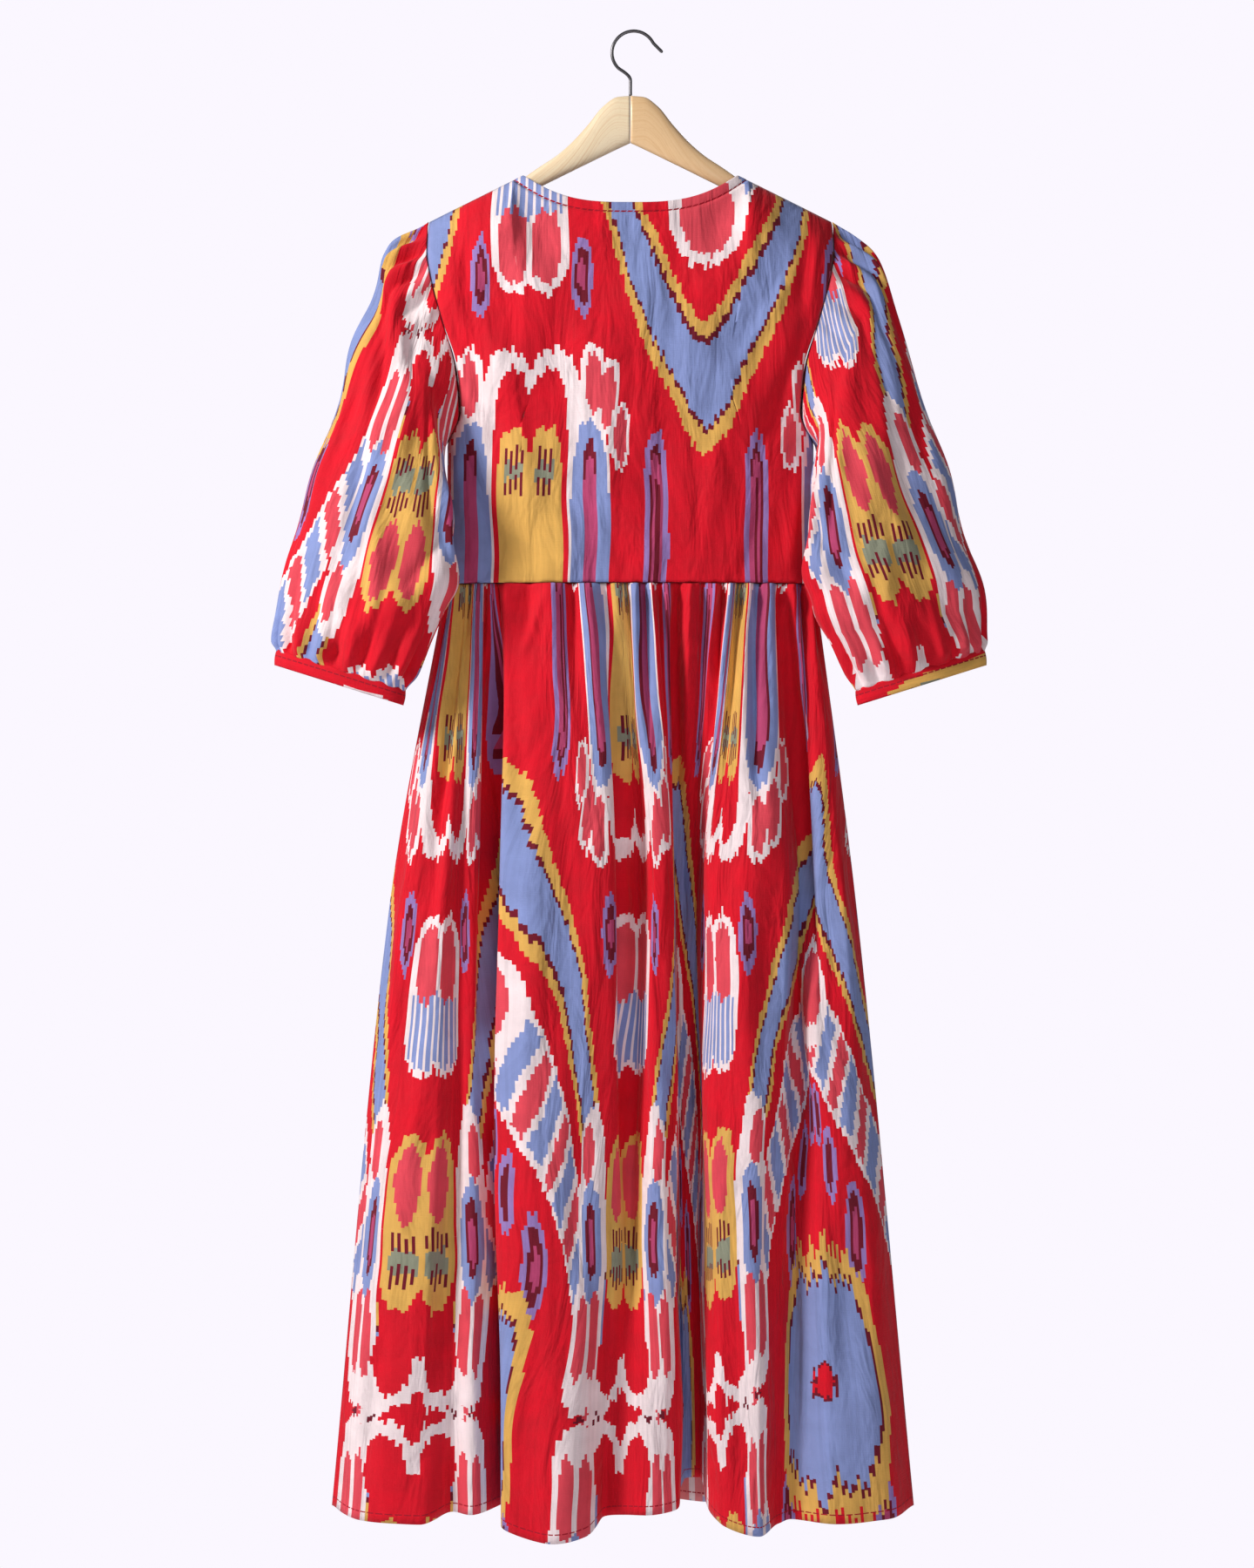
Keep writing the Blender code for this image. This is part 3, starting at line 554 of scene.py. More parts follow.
def skirt_points(flat, share, folds, front):
    """Points of a skirt panel: the fold lines' x and out, read across the flat panel and
    carried down from the waist to the hem."""
    column = read(folds, "flat", flat)
    share = np.asarray(share)[:, None]
    waist_out = section(column["x_waist"] / BODICE["half"][0], BODICE["depth"][0])
    x = between_levels(share, column["x_waist"], column["x_mid"], column["x_hem"])
    out = between_levels(share, waist_out, column["out_mid"], column["out_hem"])
    at_side = (flat <= folds["flat"][0]) | (flat >= folds["flat"][-1])
    out = np.where(at_side, EDGE_SHIFT, out)
    top = WAIST_Z - 2.0 * SEAM_GAP
    z = top + (column["z_hem"] - top) * share
    return np.stack([x, (out if front else -out), z], axis=2)


def print_slide(flat, share):
    """How far the print is drawn sideways at every point: the rows of BACK_SLIDE read across,
    and eased steps between the levels down the cloth."""
    columns = np.array([np.interp(flat, BACK_SLIDE["flat"], BACK_SLIDE[name])
                        for name in ("waist", "middle", "low", "hem")])
    at = np.interp(share, SLIDE_LEVELS, range(len(SLIDE_LEVELS)))
    low = np.clip(at.astype(int), 0, len(SLIDE_LEVELS) - 2)
    return columns[low] + (columns[low + 1] - columns[low]) * smooth(at - low)[:, None]


def even_steps(points, count, endpoint=False):
    """Split a line into even steps, and give its length at each of them."""
    steps = np.linalg.norm(np.diff(points, axis=0), axis=1)
    knots = np.concatenate([[0.0], np.cumsum(steps)])
    at = np.linspace(0.0, knots[-1], count, endpoint=endpoint)
    return np.stack([np.interp(at, knots, column) for column in points.T], axis=1), at


def armhole_loop(count, side):
    """Armhole edge of both panels, from the shoulder down the back and up the front."""
    row_z = np.linspace(BODICE["z"][-1], BODICE["z"][UNDERARM_ROW], 120)
    back, front = (bodice_points([side], row_z, panel)[:, 0] for panel in (False, True))
    return np.concatenate([even_steps(edge, count // 2)[0] for edge in (back, front[::-1])])


def sleeve_ring(share, turn, side):
    """Plain section of a sleeve: x and z run from the outer to the inner edge as a cosine of
    the turn, and the depth swells as its sine, with a power of 1.6 in front."""
    row = read(SLEEVE, "share", share)
    along = (1.0 - np.cos(turn)) / 2.0
    x, y, z = (row["outer_" + axis] + (row["inner_" + axis] - row["outer_" + axis]) * along
               for axis in "xyz")
    swell = np.sin(turn)
    x = x - row["tuck"] * np.maximum(swell, 0.0) * along
    depth = np.where(swell > 0.0, row["to_back"] * swell, -row["to_front"] * np.abs(swell) ** 1.6)
    return np.stack([side * x, y - depth, z], axis=-1)


def sleeve_points(count, share, side):
    """Points of a sleeve from the armhole to the cuff: plain sections, pulled on to the
    armhole's own edge where they start. The first column is the seam under the arm."""
    turn = turns(count)
    scoop = armhole_loop(count, side) - sleeve_ring(0.0, turn, side)
    fade = 1.0 - smooth(share[:, None, None] / SCOOP_FADE)
    grid = sleeve_ring(share[:, None], turn[None, :], side) + scoop[None] * fade
    ease = ARMHOLE_STEP * (1.0 + UNDERARM_EASE * smooth(-2.0 * np.cos(turn)))
    grid[:, :, 0] += side * ease * np.exp(-share[:, None] / SEAM_SHARE)
    return np.roll(grid, count // 2, axis=1), np.roll(turn, count // 2)


def cuff_points(count, steps, side):
    """Points of the band that closes a sleeve: its last section, let fall straight from just
    inside the sleeve's end."""
    ring = np.roll(sleeve_ring(1.0, turns(count), side), count // 2, axis=0)
    fall = np.array([side * CUFF_SLANT, 0.0, -1.0])
    fall /= np.linalg.norm(fall)
    return ring[None] + fall * np.linspace(-CUFF_TUCK, CUFF_HEIGHT, steps)[:, None, None]


def facing(grid, closed, inside):
    """Unit normal of every point: the cross product of the steps across and along the grid,
    turned away from the inside, and whether it had to be turned."""
    along = np.gradient(grid, axis=0)
    across = np.gradient(grid, axis=1)
    if closed:
        across = (np.roll(grid, -1, axis=1) - np.roll(grid, 1, axis=1)) / 2.0
    normal = np.cross(across, along)
    normal /= np.maximum(np.linalg.norm(normal, axis=2), 1e-12)[:, :, None]
    turned = np.sum(normal * (grid - inside)) < 0.0
    return (-normal if turned else normal), turned


def middle_of(grid, closed):
    """A place inside a piece for every point: the middle plane, or the ring's own middle."""
    if closed:
        return grid.mean(axis=1, keepdims=True)
    return grid * np.array([1.0, 0.0, 1.0])


def pushed(grid, closed, height):
    """Move every point outwards along its normal by a height."""
    normal, _ = facing(grid, closed, middle_of(grid, closed))
    return grid + normal * height[:, :, None]


def gathers(apart, down, rows, left, seam):
    """Height of gathers: bells across the cloth, which fade as a power of 1.5 down it, and of
    which the seam's stitches leave only a share at the seam itself."""
    bell = np.exp(-(apart / rows["width"][:, None]) ** 2)[:, None, :]
    fade = np.exp(-(down / rows["run"][:, None]) ** 1.5)[:, :, None]
    total = np.sum(rows["depth"][:, None, None] * bell * fade, axis=0)
    return total * (left + (1.0 - left) * smooth(down / seam))[:, None]


def crease(across, up, length, width, depth, lean):
    """Height of one crease about its middle: a bell across its own lean, with ends that fade
    as a bell of the fourth power along it."""
    down_x, down_z = math.sin(math.radians(lean)), -math.cos(math.radians(lean))
    along = across * down_x + up * down_z
    beside = across * down_z - up * down_x
    return depth * np.exp(-(beside / width) ** 2 - (2.0 * along / length) ** 4)


def creases(x, z, rows):
    """Height of all the creases of a panel."""
    return sum(crease(x - place_x, z - place_z, *rest)
               for place_x, place_z, *rest in zip(*rows.values()))


def undulation(across, along, seed, size_across, size_along):
    """Slow uneven swell of hung cloth: twelve cosine waves of seeded direction and phase,
    with an effective value of one."""
    pick = np.random.default_rng(seed)
    total = np.zeros(np.broadcast(across, along).shape)
    for _ in range(12):
        wave_across = pick.uniform(0.6, 1.6) / size_across * pick.choice([-1.0, 1.0])
        wave_along = pick.uniform(0.5, 1.6) / size_along
        phase = pick.uniform(0.0, 2.0 * math.pi)
        total += np.cos(2.0 * math.pi * (across * wave_across + along * wave_along) + phase)
    return total / math.sqrt(6.0)


def arc_across(grid):
    """Length along each row, from its first point round to one past its last."""
    ring = np.concatenate([grid, grid[:, :1]], axis=1)
    steps = np.linalg.norm(np.diff(ring, axis=1), axis=2)
    return np.concatenate([np.zeros((len(grid), 1)), np.cumsum(steps, axis=1)], axis=1)


def piece(name, grid, closed, maps, finishes, wall=None):
    """Make the piece that stands for a node, from its grid of points: faces between
    neighbours, faces outwards, one UV map for each entry of maps, and a wall of even
    thickness where that is given. The name is the node's and a word for the material."""
    rows, columns = grid.shape[:2]
    wide = columns if closed else columns - 1
    row, column = np.meshgrid(np.arange(rows - 1), np.arange(wide), indexing="ij")
    corner_row = np.stack([row, row, row + 1, row + 1], axis=-1).reshape(-1, 4)
    corner_column = np.stack([column, column + 1, column + 1, column], axis=-1).reshape(-1, 4)
    _, turned = facing(grid, closed, middle_of(grid, closed))
    if turned:
        corner_row, corner_column = corner_row[:, ::-1], corner_column[:, ::-1]
    corners = corner_row * columns + corner_column % columns
    mesh = bpy.data.meshes.new(name)
    mesh.from_pydata(grid.reshape(-1, 3).tolist(), [], corners.tolist())
    for map_name, (map_u, map_v) in maps.items():
        places = np.stack([map_u[corner_row, corner_column], map_v[corner_row, corner_column]],
                          axis=-1)
        layer = mesh.uv_layers.new(name=map_name)
        layer.data.foreach_set("uv", places.astype(np.float32).ravel())
    for finish in finishes:
        mesh.materials.append(finish)
    mesh.shade_smooth()
    made = bpy.data.objects.new(name, mesh)
    bpy.context.scene.collection.objects.link(made)
    if wall is not None:
        shell = made.modifiers.new("Wall", "SOLIDIFY")
        shell.thickness = wall
        shell.offset = 0.0
        shell.material_offset = 1
    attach(made, ROOT)
    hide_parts(name.rsplit("_", 1)[0])
    return made


def linear(colour):
    """Turn an sRGB hex value to linear light, with alpha."""
    parts = [int(colour[place:place + 2], 16) / 255.0 for place in (0, 2, 4)]
    light = [part / 12.92 if part <= 0.04045 else ((part + 0.055) / 1.055) ** 2.4
             for part in parts]
    return (*light, 1.0)


def plug(tree, node, inputs):
    """Give each socket of a node its value, or a link from another node's socket."""
    for place, value in inputs.items():
        if isinstance(value, bpy.types.NodeSocket):
            tree.links.new(value, node.inputs[place])
        else:
            node.inputs[place].default_value = value


def add(tree, kind, inputs=None, stops=None, stepped=False, points=None, **settings):
    """Add a node: settings are its own properties, inputs fills its sockets, and stops or
    points fill its ramp or curve."""
    node = tree.nodes.new("ShaderNode" + kind)
    for name, value in settings.items():
        setattr(node, name, value)
    plug(tree, node, inputs or {})
    if stops:
        ramp = node.color_ramp
        ramp.interpolation = "CONSTANT" if stepped else "LINEAR"
        while len(ramp.elements) < len(stops):
            ramp.elements.new(1.0)
        for element, (position, colour) in zip(ramp.elements, stops):
            element.position, element.color = position, colour
    if points:
        curve = node.mapping.curves[0]
        while len(curve.points) < len(points):
            curve.points.new(0.5, 0.5)
        for point, place in zip(curve.points, points):
            point.location = place
        node.mapping.update()
    return node


def maths(tree, operation, *values):
    """Result of a maths node."""
    return add(tree, "Math", dict(enumerate(values)), operation=operation).outputs[0]


def mixed(tree, share, under, over):
    """One colour laid over another by a share."""
    return add(tree, "Mix", {0: share, 6: under, 7: over}, data_type="RGBA").outputs[2]


def noise(tree, place, detail, stretch=None, scale=1.0, distortion=0.0):
    """Flat noise at a place, which is stretched first by so much each way."""
    if stretch:
        place = add(tree, "Mapping", {"Vector": place, "Scale": (*stretch, 1.0)}).outputs[0]
    return add(tree, "TexNoise", {"Vector": place, "Scale": scale, "Detail": detail,
                                  "Distortion": distortion},
               noise_dimensions="2D").outputs["Fac"]


def bump(tree, height, strength, distance, **under):
    """Normal of a bumped surface, over another one's Normal where that is given."""
    return add(tree, "Bump", {"Height": height, "Strength": strength, "Distance": distance,
                              **under}).outputs[0]


def new_material(name):
    """Empty material with its output and one Principled shader."""
    made = bpy.data.materials.new(name)
    made.use_nodes = True
    made.node_tree.nodes.clear()
    shader = add(made.node_tree, "BsdfPrincipled")
    add(made.node_tree, "OutputMaterial", {"Surface": shader.outputs[0]})
    return made, made.node_tree, shader


def printed_colour(tree, colours):
    """Colour of the ikat print, from the piece's own UV map in metres.

    The warp is tied in bundles before it is dyed, so a motif's place across is rounded to
    its bundle, and its place along slips by a different amount in each bundle. A motif is
    where the sum of its two powers, across and along, is less than one."""
    lay = add(tree, "UVMap", uv_map="print").outputs[0]
    across, along = add(tree, "SeparateXYZ", {0: lay}).outputs[:2]
    wander = maths(tree, "MULTIPLY_ADD", noise(tree, lay, 1.0, scale=9.0), WANDER, -WANDER / 2.0)
    bundle = maths(tree, "SNAP", maths(tree, "ADD", across, wander), BUNDLE)
    centre = maths(tree, "ADD", bundle, BUNDLE / 2.0)
    number = maths(tree, "MULTIPLY", bundle, LOOSE_ACROSS)
    slow = maths(tree, "MULTIPLY", along, LOOSE_ALONG)
    seat = add(tree, "CombineXYZ", {0: number, 1: slow}).outputs[0]
    slip = maths(tree, "MULTIPLY_ADD", noise(tree, seat, 1.0), 4.0 * SLIP, -2.0 * SLIP)
    u, w = (maths(tree, "MULTIPLY", maths(tree, "PINGPONG", place, half), float(MM))
            for place, half in ((centre, HALF_REPEAT_ACROSS),
                                (maths(tree, "ADD", along, slip), HALF_REPEAT_ALONG)))
    odd = maths(tree, "PINGPONG", maths(tree, "ADD", bundle, BUNDLE / 4.0), BUNDLE)
    comb = maths(tree, "GREATER_THAN", odd, BUNDLE / 2.0)
    combed_w = maths(tree, "ADD", w, maths(tree, "MULTIPLY_ADD", comb, 2.0 * TOOTH, -TOOTH))
    wild = noise(tree, seat, 0.0, (0.05, 0.20))
    ragged_w = maths(tree, "MULTIPLY_ADD", wild, 2.0 * RAGGED, combed_w)
    ragged_w = maths(tree, "SUBTRACT", ragged_w, RAGGED)
    plain, combed, ragged = (add(tree, "CombineXYZ", {0: u, 1: height}).outputs[0]
                             for height in (w, combed_w, ragged_w))

    # arrow arms: how far below its upper edge, in bands
    wide, tall = ARROW[-1]
    reach = maths(tree, "SUBTRACT", 1.0, maths(tree, "DIVIDE", u, wide))
    edge = add(tree, "FloatCurve", {"Value": reach},
               points=[(out / wide, down / tall) for out, down in ARROW]).outputs[0]
    below = maths(tree, "MULTIPLY_ADD", edge, -tall, w)
    leaf = maths(tree, "MULTIPLY_ADD", reach, wide * LEAF_SLANT, w)
    leaf = maths(tree, "FRACT", maths(tree, "DIVIDE", leaf, LEAF_STEP))
    leaves = add(tree, "ValToRGB", {0: leaf}, stepped=True, stops=[
        (start, colours[name]) for start, name in LEAF_BANDS]).outputs[0]
    shade = add(tree, "ValToRGB", {0: maths(tree, "DIVIDE", below, BAND_REACH)}, stepped=True,
                stops=[(start / BAND_REACH, colours[name])
                       for start, name in ARROW_BANDS]).outputs[0]
    first, last = LEAVES
    in_leaves = maths(tree, "COMPARE", below, (first + last) / 2.0, (last - first) / 2.0)
    shade = mixed(tree, in_leaves, shade, leaves)
    shade = mixed(tree, maths(tree, "GREATER_THAN", below, 0.0), colours["red"], shade)

    # striped foot of the coral heads
    stripe = maths(tree, "GREATER_THAN", maths(tree, "PINGPONG", u, STRIPE), STRIPE_BLUE)
    stripes = mixed(tree, stripe, colours["blue"], colours["white"])

    seats = {"combed": combed, "ragged": ragged}
    for place_u, place_w, half_u, half_w, power_u, power_w, name, *ends in MOTIFS:
        at = add(tree, "VectorMath", {
            0: seats.get("".join(ends), plain), 1: (1.0 / half_u, 1.0 / half_w, 0.0),
            2: (-place_u / half_u, -place_w / half_w, 0.0)}, operation="MULTIPLY_ADD").outputs[0]
        powers = add(tree, "VectorMath", {0: at, 1: (power_u, power_w, 1.0)},
                     operation="POWER").outputs[0]
        total = add(tree, "VectorMath", {0: powers, 1: (1.0, 1.0, 0.0)},
                    operation="DOT_PRODUCT").outputs["Value"]
        inside = maths(tree, "LESS_THAN", total, 1.0)
        if "teeth" in ends:
            inside = maths(tree, "MULTIPLY", inside, comb)
        shade = mixed(tree, inside, shade, stripes if name == "stripes" else colours[name])
    return lay, number, shade


def printed_cotton(name, look, faded):
    """Printed cotton, plain weave: matt with a soft nap, dyed a little unevenly from bundle
    to bundle, with slubs in the yarn. Its reverse, where faded isn't 0, is paler."""
    made, tree, shader = new_material(name)
    colours = {part: linear(getattr(look, part)) for part in (
        "red", "coral", "blue", "lavender", "white", "ochre", "maroon", "moss", "magenta")}
    lay, number, shade = printed_colour(tree, colours)

    # dye: each bundle a little lighter or darker, and slow clouds over the cloth
    streak = add(tree, "TexNoise", {"W": number, "Scale": 0.37, "Detail": 2.0},
                 noise_dimensions="1D").outputs["Fac"]
    cloud = noise(tree, lay, 4.0, scale=42.0)
    value = maths(tree, "MULTIPLY_ADD", maths(tree, "ADD", streak, cloud), 0.30, 0.70)
    shade = add(tree, "HueSaturation", {"Value": value, "Color": shade}).outputs[0]
    if faded:
        shade = mixed(tree, faded, shade, linear("E9CFCB"))

    # topstitching: dashes as long as a stitch, in a line beside the free edge
    run, from_edge = add(tree, "SeparateXYZ", {
        0: add(tree, "UVMap", uv_map="edge").outputs[0]}).outputs[:2]
    line = maths(tree, "COMPARE", from_edge, look.stitch_in, THREAD_WIDTH / 2.0)
    dash = maths(tree, "PINGPONG", run, look.stitch_length)
    dash = maths(tree, "GREATER_THAN", dash, look.stitch_length * STITCH_GAP)
    shade = mixed(tree, maths(tree, "MULTIPLY", line, dash), shade, linear(look.thread))

    # weave: real threads are 0.35 mm apart, drawn 1.1 mm apart so that they show
    weave = maths(tree, "ADD", noise(tree, lay, 2.0, (120.0, 900.0)),
                  noise(tree, lay, 2.0, (900.0, 90.0)))
    weave = bump(tree, weave, 0.35, 0.0006)
    rumple = noise(tree, lay, 3.0, (38.0, 12.0), distortion=0.4)
    plug(tree, shader, {
        "Base Color": shade, "Normal": bump(tree, rumple, 0.9, 0.0065, Normal=weave),
        "Roughness": maths(tree, "MULTIPLY_ADD", cloud, 0.16, 0.74),
        "Specular IOR Level": 0.28, "Sheen Weight": 0.10, "Sheen Roughness": 0.45})
    return made


def lacquered_beech(name, look, wood):
    """Beech, sawn, sanded and lacquered: straight grain 1 to 3 mm wide along the arm, short
    dark flecks and a satin coat."""
    made, tree, shader = new_material(name)
    lay = add(tree, "UVMap", uv_map="grain").outputs[0]
    grain = noise(tree, lay, 4.0, (7.0, 420.0), distortion=0.1)
    strong = add(tree, "Math", {0: grain, 1: 1.6, 2: -0.75}, operation="MULTIPLY_ADD",
                 use_clamp=True).outputs[0]
    # wood is the arm's base tone: paler with painted light on the left arm, deeper with painted
    # shade on the right arm
    tone = mixed(tree, strong, linear(wood), linear(look.wood_dark))
    spot = add(tree, "ValToRGB", {0: noise(tree, lay, 1.0, (260.0, 1700.0))}, stops=[
        (0.66, (0.0, 0.0, 0.0, 1.0)), (0.74, (1.0, 1.0, 1.0, 1.0))]).outputs[0]
    shade = mixed(tree, maths(tree, "MULTIPLY", spot, 0.22), tone, linear("C58F55"))
    plug(tree, shader, {
        "Base Color": shade, "Roughness": maths(tree, "MULTIPLY_ADD", grain, 0.20, 0.30),
        "Normal": bump(tree, grain, 0.15, 0.0004), "Coat Weight": 0.25, "Coat Roughness": 0.25})
    return made


def drawn_steel(name, look):
    """Steel wire, drawn through a die and dark nickelled: fine lines along the wire."""
    made, tree, shader = new_material(name)
    lines = noise(tree, add(tree, "UVMap", uv_map="grain").outputs[0], 3.0, (30.0, 2600.0))
    tone = add(tree, "ValToRGB", {0: lines}, stops=[
        (0.30, linear(look.steel)), (0.75, linear("8C8A8A"))]).outputs[0]
    plug(tree, shader, {"Base Color": tone, "Metallic": 1.0,
                        "Roughness": maths(tree, "MULTIPLY_ADD", lines, 0.30, 0.22)})
    return made


def studio_paper(name, look):
    """Matt seamless paper, pale, with a faint tooth."""
    made, tree, shader = new_material(name)
    lay = add(tree, "TexCoord").outputs["Object"]
    tooth = add(tree, "TexNoise", {"Vector": lay, "Scale": 500.0, "Detail": 2.0}).outputs["Fac"]
    plug(tree, shader, {"Base Color": linear(look.paper), "Roughness": 0.9,
                        "Normal": bump(tree, tooth, 0.1, 0.0004)})
    return made


def cotton_pair(context):
    """The print's face and its paler reverse, made once."""
    return [bpy.data.materials.get(name) or printed_cotton(name, context.scene.dress_look, faded)
            for name, faded in (("Printed cotton, plain weave", 0.0),
                                ("Printed cotton, reverse", 0.30))]


def hex_colour(name, description, default):
    """Setting for an sRGB hex value."""
    return bpy.props.StringProperty(name=name, description=description, default=default)


def metres(name, description, default, least, most):
    """Setting for a length in metres."""
    return bpy.props.FloatProperty(name=name, description=description, default=default, min=least,
                                   max=most, subtype="DISTANCE", unit="LENGTH", precision=4)


def times(name, description, default):
    """Setting for how many times as deep as in the tables."""
    return bpy.props.FloatProperty(name=name, description=description, default=default,
                                   min=0.0, max=2.0)


class DressSizes(bpy.types.PropertyGroup):
    """Sizes of the cloth's detail"""

    cloth_wall: metres("Cloth", "Thickness of the drawn cloth", 0.0007, 0.0002, 0.002)
    gather_depth: times("Gathers", "Depth of the gathers, where 1 is as in the tables", 1.25)
    crease_depth: times("Creases", "Depth of the creases, where 1 is as in the tables", 1.0)
    swell: metres("Swell", "Uneven swell of the hung cloth", 0.0011, 0.0, 0.004)


class DressLook(bpy.types.PropertyGroup):
    """Colours of the print, as sRGB hex values, and the stitching"""

    red: hex_colour("Red", "Ground of the print", "DC0422")
    coral: hex_colour("Coral", "Coral of the ovals and leaves", "E34756")
    blue: hex_colour("Blue", "Blue of the bars and arrows", "8796CC")
    lavender: hex_colour("Lavender", "Edges of the lozenges", "9A7CBC")
    white: hex_colour("White", "Undyed cotton", "F6E4E6")
    ochre: hex_colour("Ochre", "Ochre of the arches", "E2AE58")
    maroon: hex_colour("Maroon", "Dark edges and teeth", "720A24")
    moss: hex_colour("Moss", "Grey green of the combs", "8E917C")
    magenta: hex_colour("Magenta", "Cores of the bars", "B8436F")
    thread: hex_colour("Thread", "Sewing thread", "A80C24")
    # Both arms are one beech: the left arm's paler tone is painted light and the right arm's
    # deeper orange tone is painted shade, as from a light on the left
    wood: hex_colour("Left arm", "Beech of the left arm", "FBE6C2")
    wood_right: hex_colour("Right arm", "Beech of the right arm", "F6CE9C")
    wood_dark: hex_colour("Wood grain", "Darker grain of the beech", "E0AC70")
    steel: hex_colour("Steel", "Hook", "56535A")
    paper: hex_colour("Paper", "Floor", "FAF7FD")
    stitch_in: metres("Stitch line", "Distance of the topstitching from the edge", 0.008, 0.001,
                      0.03)
    stitch_length: metres("Stitch", "Length of one stitch", 0.0030, 0.001, 0.01)


class DRESS_OT_skirt(bpy.types.Operator):
    """Make the back and front skirt panels with their gathers, folds and creases"""

    bl_idname = "dress.skirt"
    bl_label = "Skirt"

    def execute(self, context):
        sizes = context.scene.dress_sizes
        flat = np.linspace(0.0, 1.0, 321)
        share = stretches(0.0, (0.10, 28), (1.0, 104))
        fall = share * (WAIST_Z - HEM_Z)
        for word, front, folds, gather_rows, crease_rows, seed in (
                ("back", False, BACK_FOLDS, BACK_GATHERS, SKIRT_BACK_CREASES, 11),
                ("front", True, FRONT_FOLDS, FRONT_GATHERS, SKIRT_FRONT_CREASES, 12)):
            grid = skirt_points(flat, share, folds, front)
            apart = flat - gather_rows["flat"][:, None]
            height = sizes.gather_depth * gathers(apart, fall, gather_rows, *WAIST_STITCHES)
            height += sizes.crease_depth * creases(grid[:, :, 0], grid[:, :, 2], crease_rows)
            swell = undulation(flat[None, :], fall[:, None], seed, *SKIRT_SWELL)
            height += sizes.swell * swell * smooth(fall / SWELL_START)[:, None]
            height *= smooth(np.minimum(flat, 1.0 - flat) / SIDE_SHARE)
            grid = pushed(grid, False, height)
            start_u, start_w = SKIRT_PRINT[front]
            places_u = np.broadcast_to(flat - start_u, grid.shape[:2])
            places_w = WAIST_Z - grid[:, :, 2] - start_w
            if not front:
                places_u = places_u + print_slide(flat, share)
                rise = (smooth((flat - RISE_FROM) / RISE_WIDE)
                        * smooth((share - RISE_TOP) / RISE_DEEP)[:, None])
                places_w = places_w + RIGHT_RISE * rise
            from_hem = (share[-1] - share)[:, None] * (WAIST_Z - HEM_Z) + 0.0 * flat
            maps = {"print": (places_u, places_w), "edge": (places_u, from_hem)}
            made = piece("skirt_" + word + "_cloth", grid, False, maps,
                         cotton_pair(context), sizes.cloth_wall)
        return {"FINISHED"}


class DRESS_OT_bodice(bpy.types.Operator):
    """Make the back and front bodice panels"""

    bl_idname = "dress.bodice"
    bl_label = "Bodice"

    def execute(self, context):
        sizes = context.scene.dress_sizes
        across = bodice_columns(100, 26)
        row_z = np.linspace(WAIST_Z, BODICE["z"][-1], 112)
        for word, front, rows, area, seed in (
                ("back", False, BODICE_BACK_CREASES, 0.128, 21),
                ("front", True, BODICE_FRONT_CREASES, 0.112, 22)):
            grid = bodice_points(across, row_z, front)
            x, z = grid[:, :, 0], grid[:, :, 2]
            height = sizes.crease_depth * creases(x, z, rows)
            height += sizes.swell * undulation(x, z, seed, *BODICE_SWELL)
            sides = smooth((1.0 - np.abs(across)) / CALM_SIDE)
            ends = (smooth((row_z - WAIST_Z) / CALM_WAIST)
                    * smooth((BODICE["z"][-1] - row_z) / CALM_SHOULDER))
            grid = pushed(grid, False, height * sides * ends[:, None])
            start_u, start_w = BODICE_PRINT[front]
            places = (grid[:, :, 0] + start_u, grid[:, :, 2] + start_w)
            maps = {"print": places, "edge": (places[0], np.full(x.shape, NO_EDGE))}
            made = piece("bodice_" + word + "_cloth", grid, False, maps,
                         cotton_pair(context), sizes.cloth_wall)
        return {"FINISHED"}


class DRESS_OT_neck_binding(bpy.types.Operator):
    """Make the narrow binding of the neck"""

    bl_idname = "dress.neck_binding"
    bl_label = "Neck binding"

    def execute(self, context):
        steps = 13
        grid = neck_band_points(256, steps)
        x, _, z = np.concatenate([grid, grid[:, :1]], axis=1).transpose(2, 0, 1)
        from_edge = np.linspace(BAND_WIDTH + BAND_TUCK, 0.0, steps)[:, None] + 0.0 * x
        start_u, start_w = BODICE_PRINT[False]
        maps = {"print": (x + start_u, z + start_w), "edge": (arc_across(grid), from_edge)}
        made = piece("neck_binding_cloth", grid, True, maps, cotton_pair(context),
                     context.scene.dress_sizes.cloth_wall)
        return {"FINISHED"}


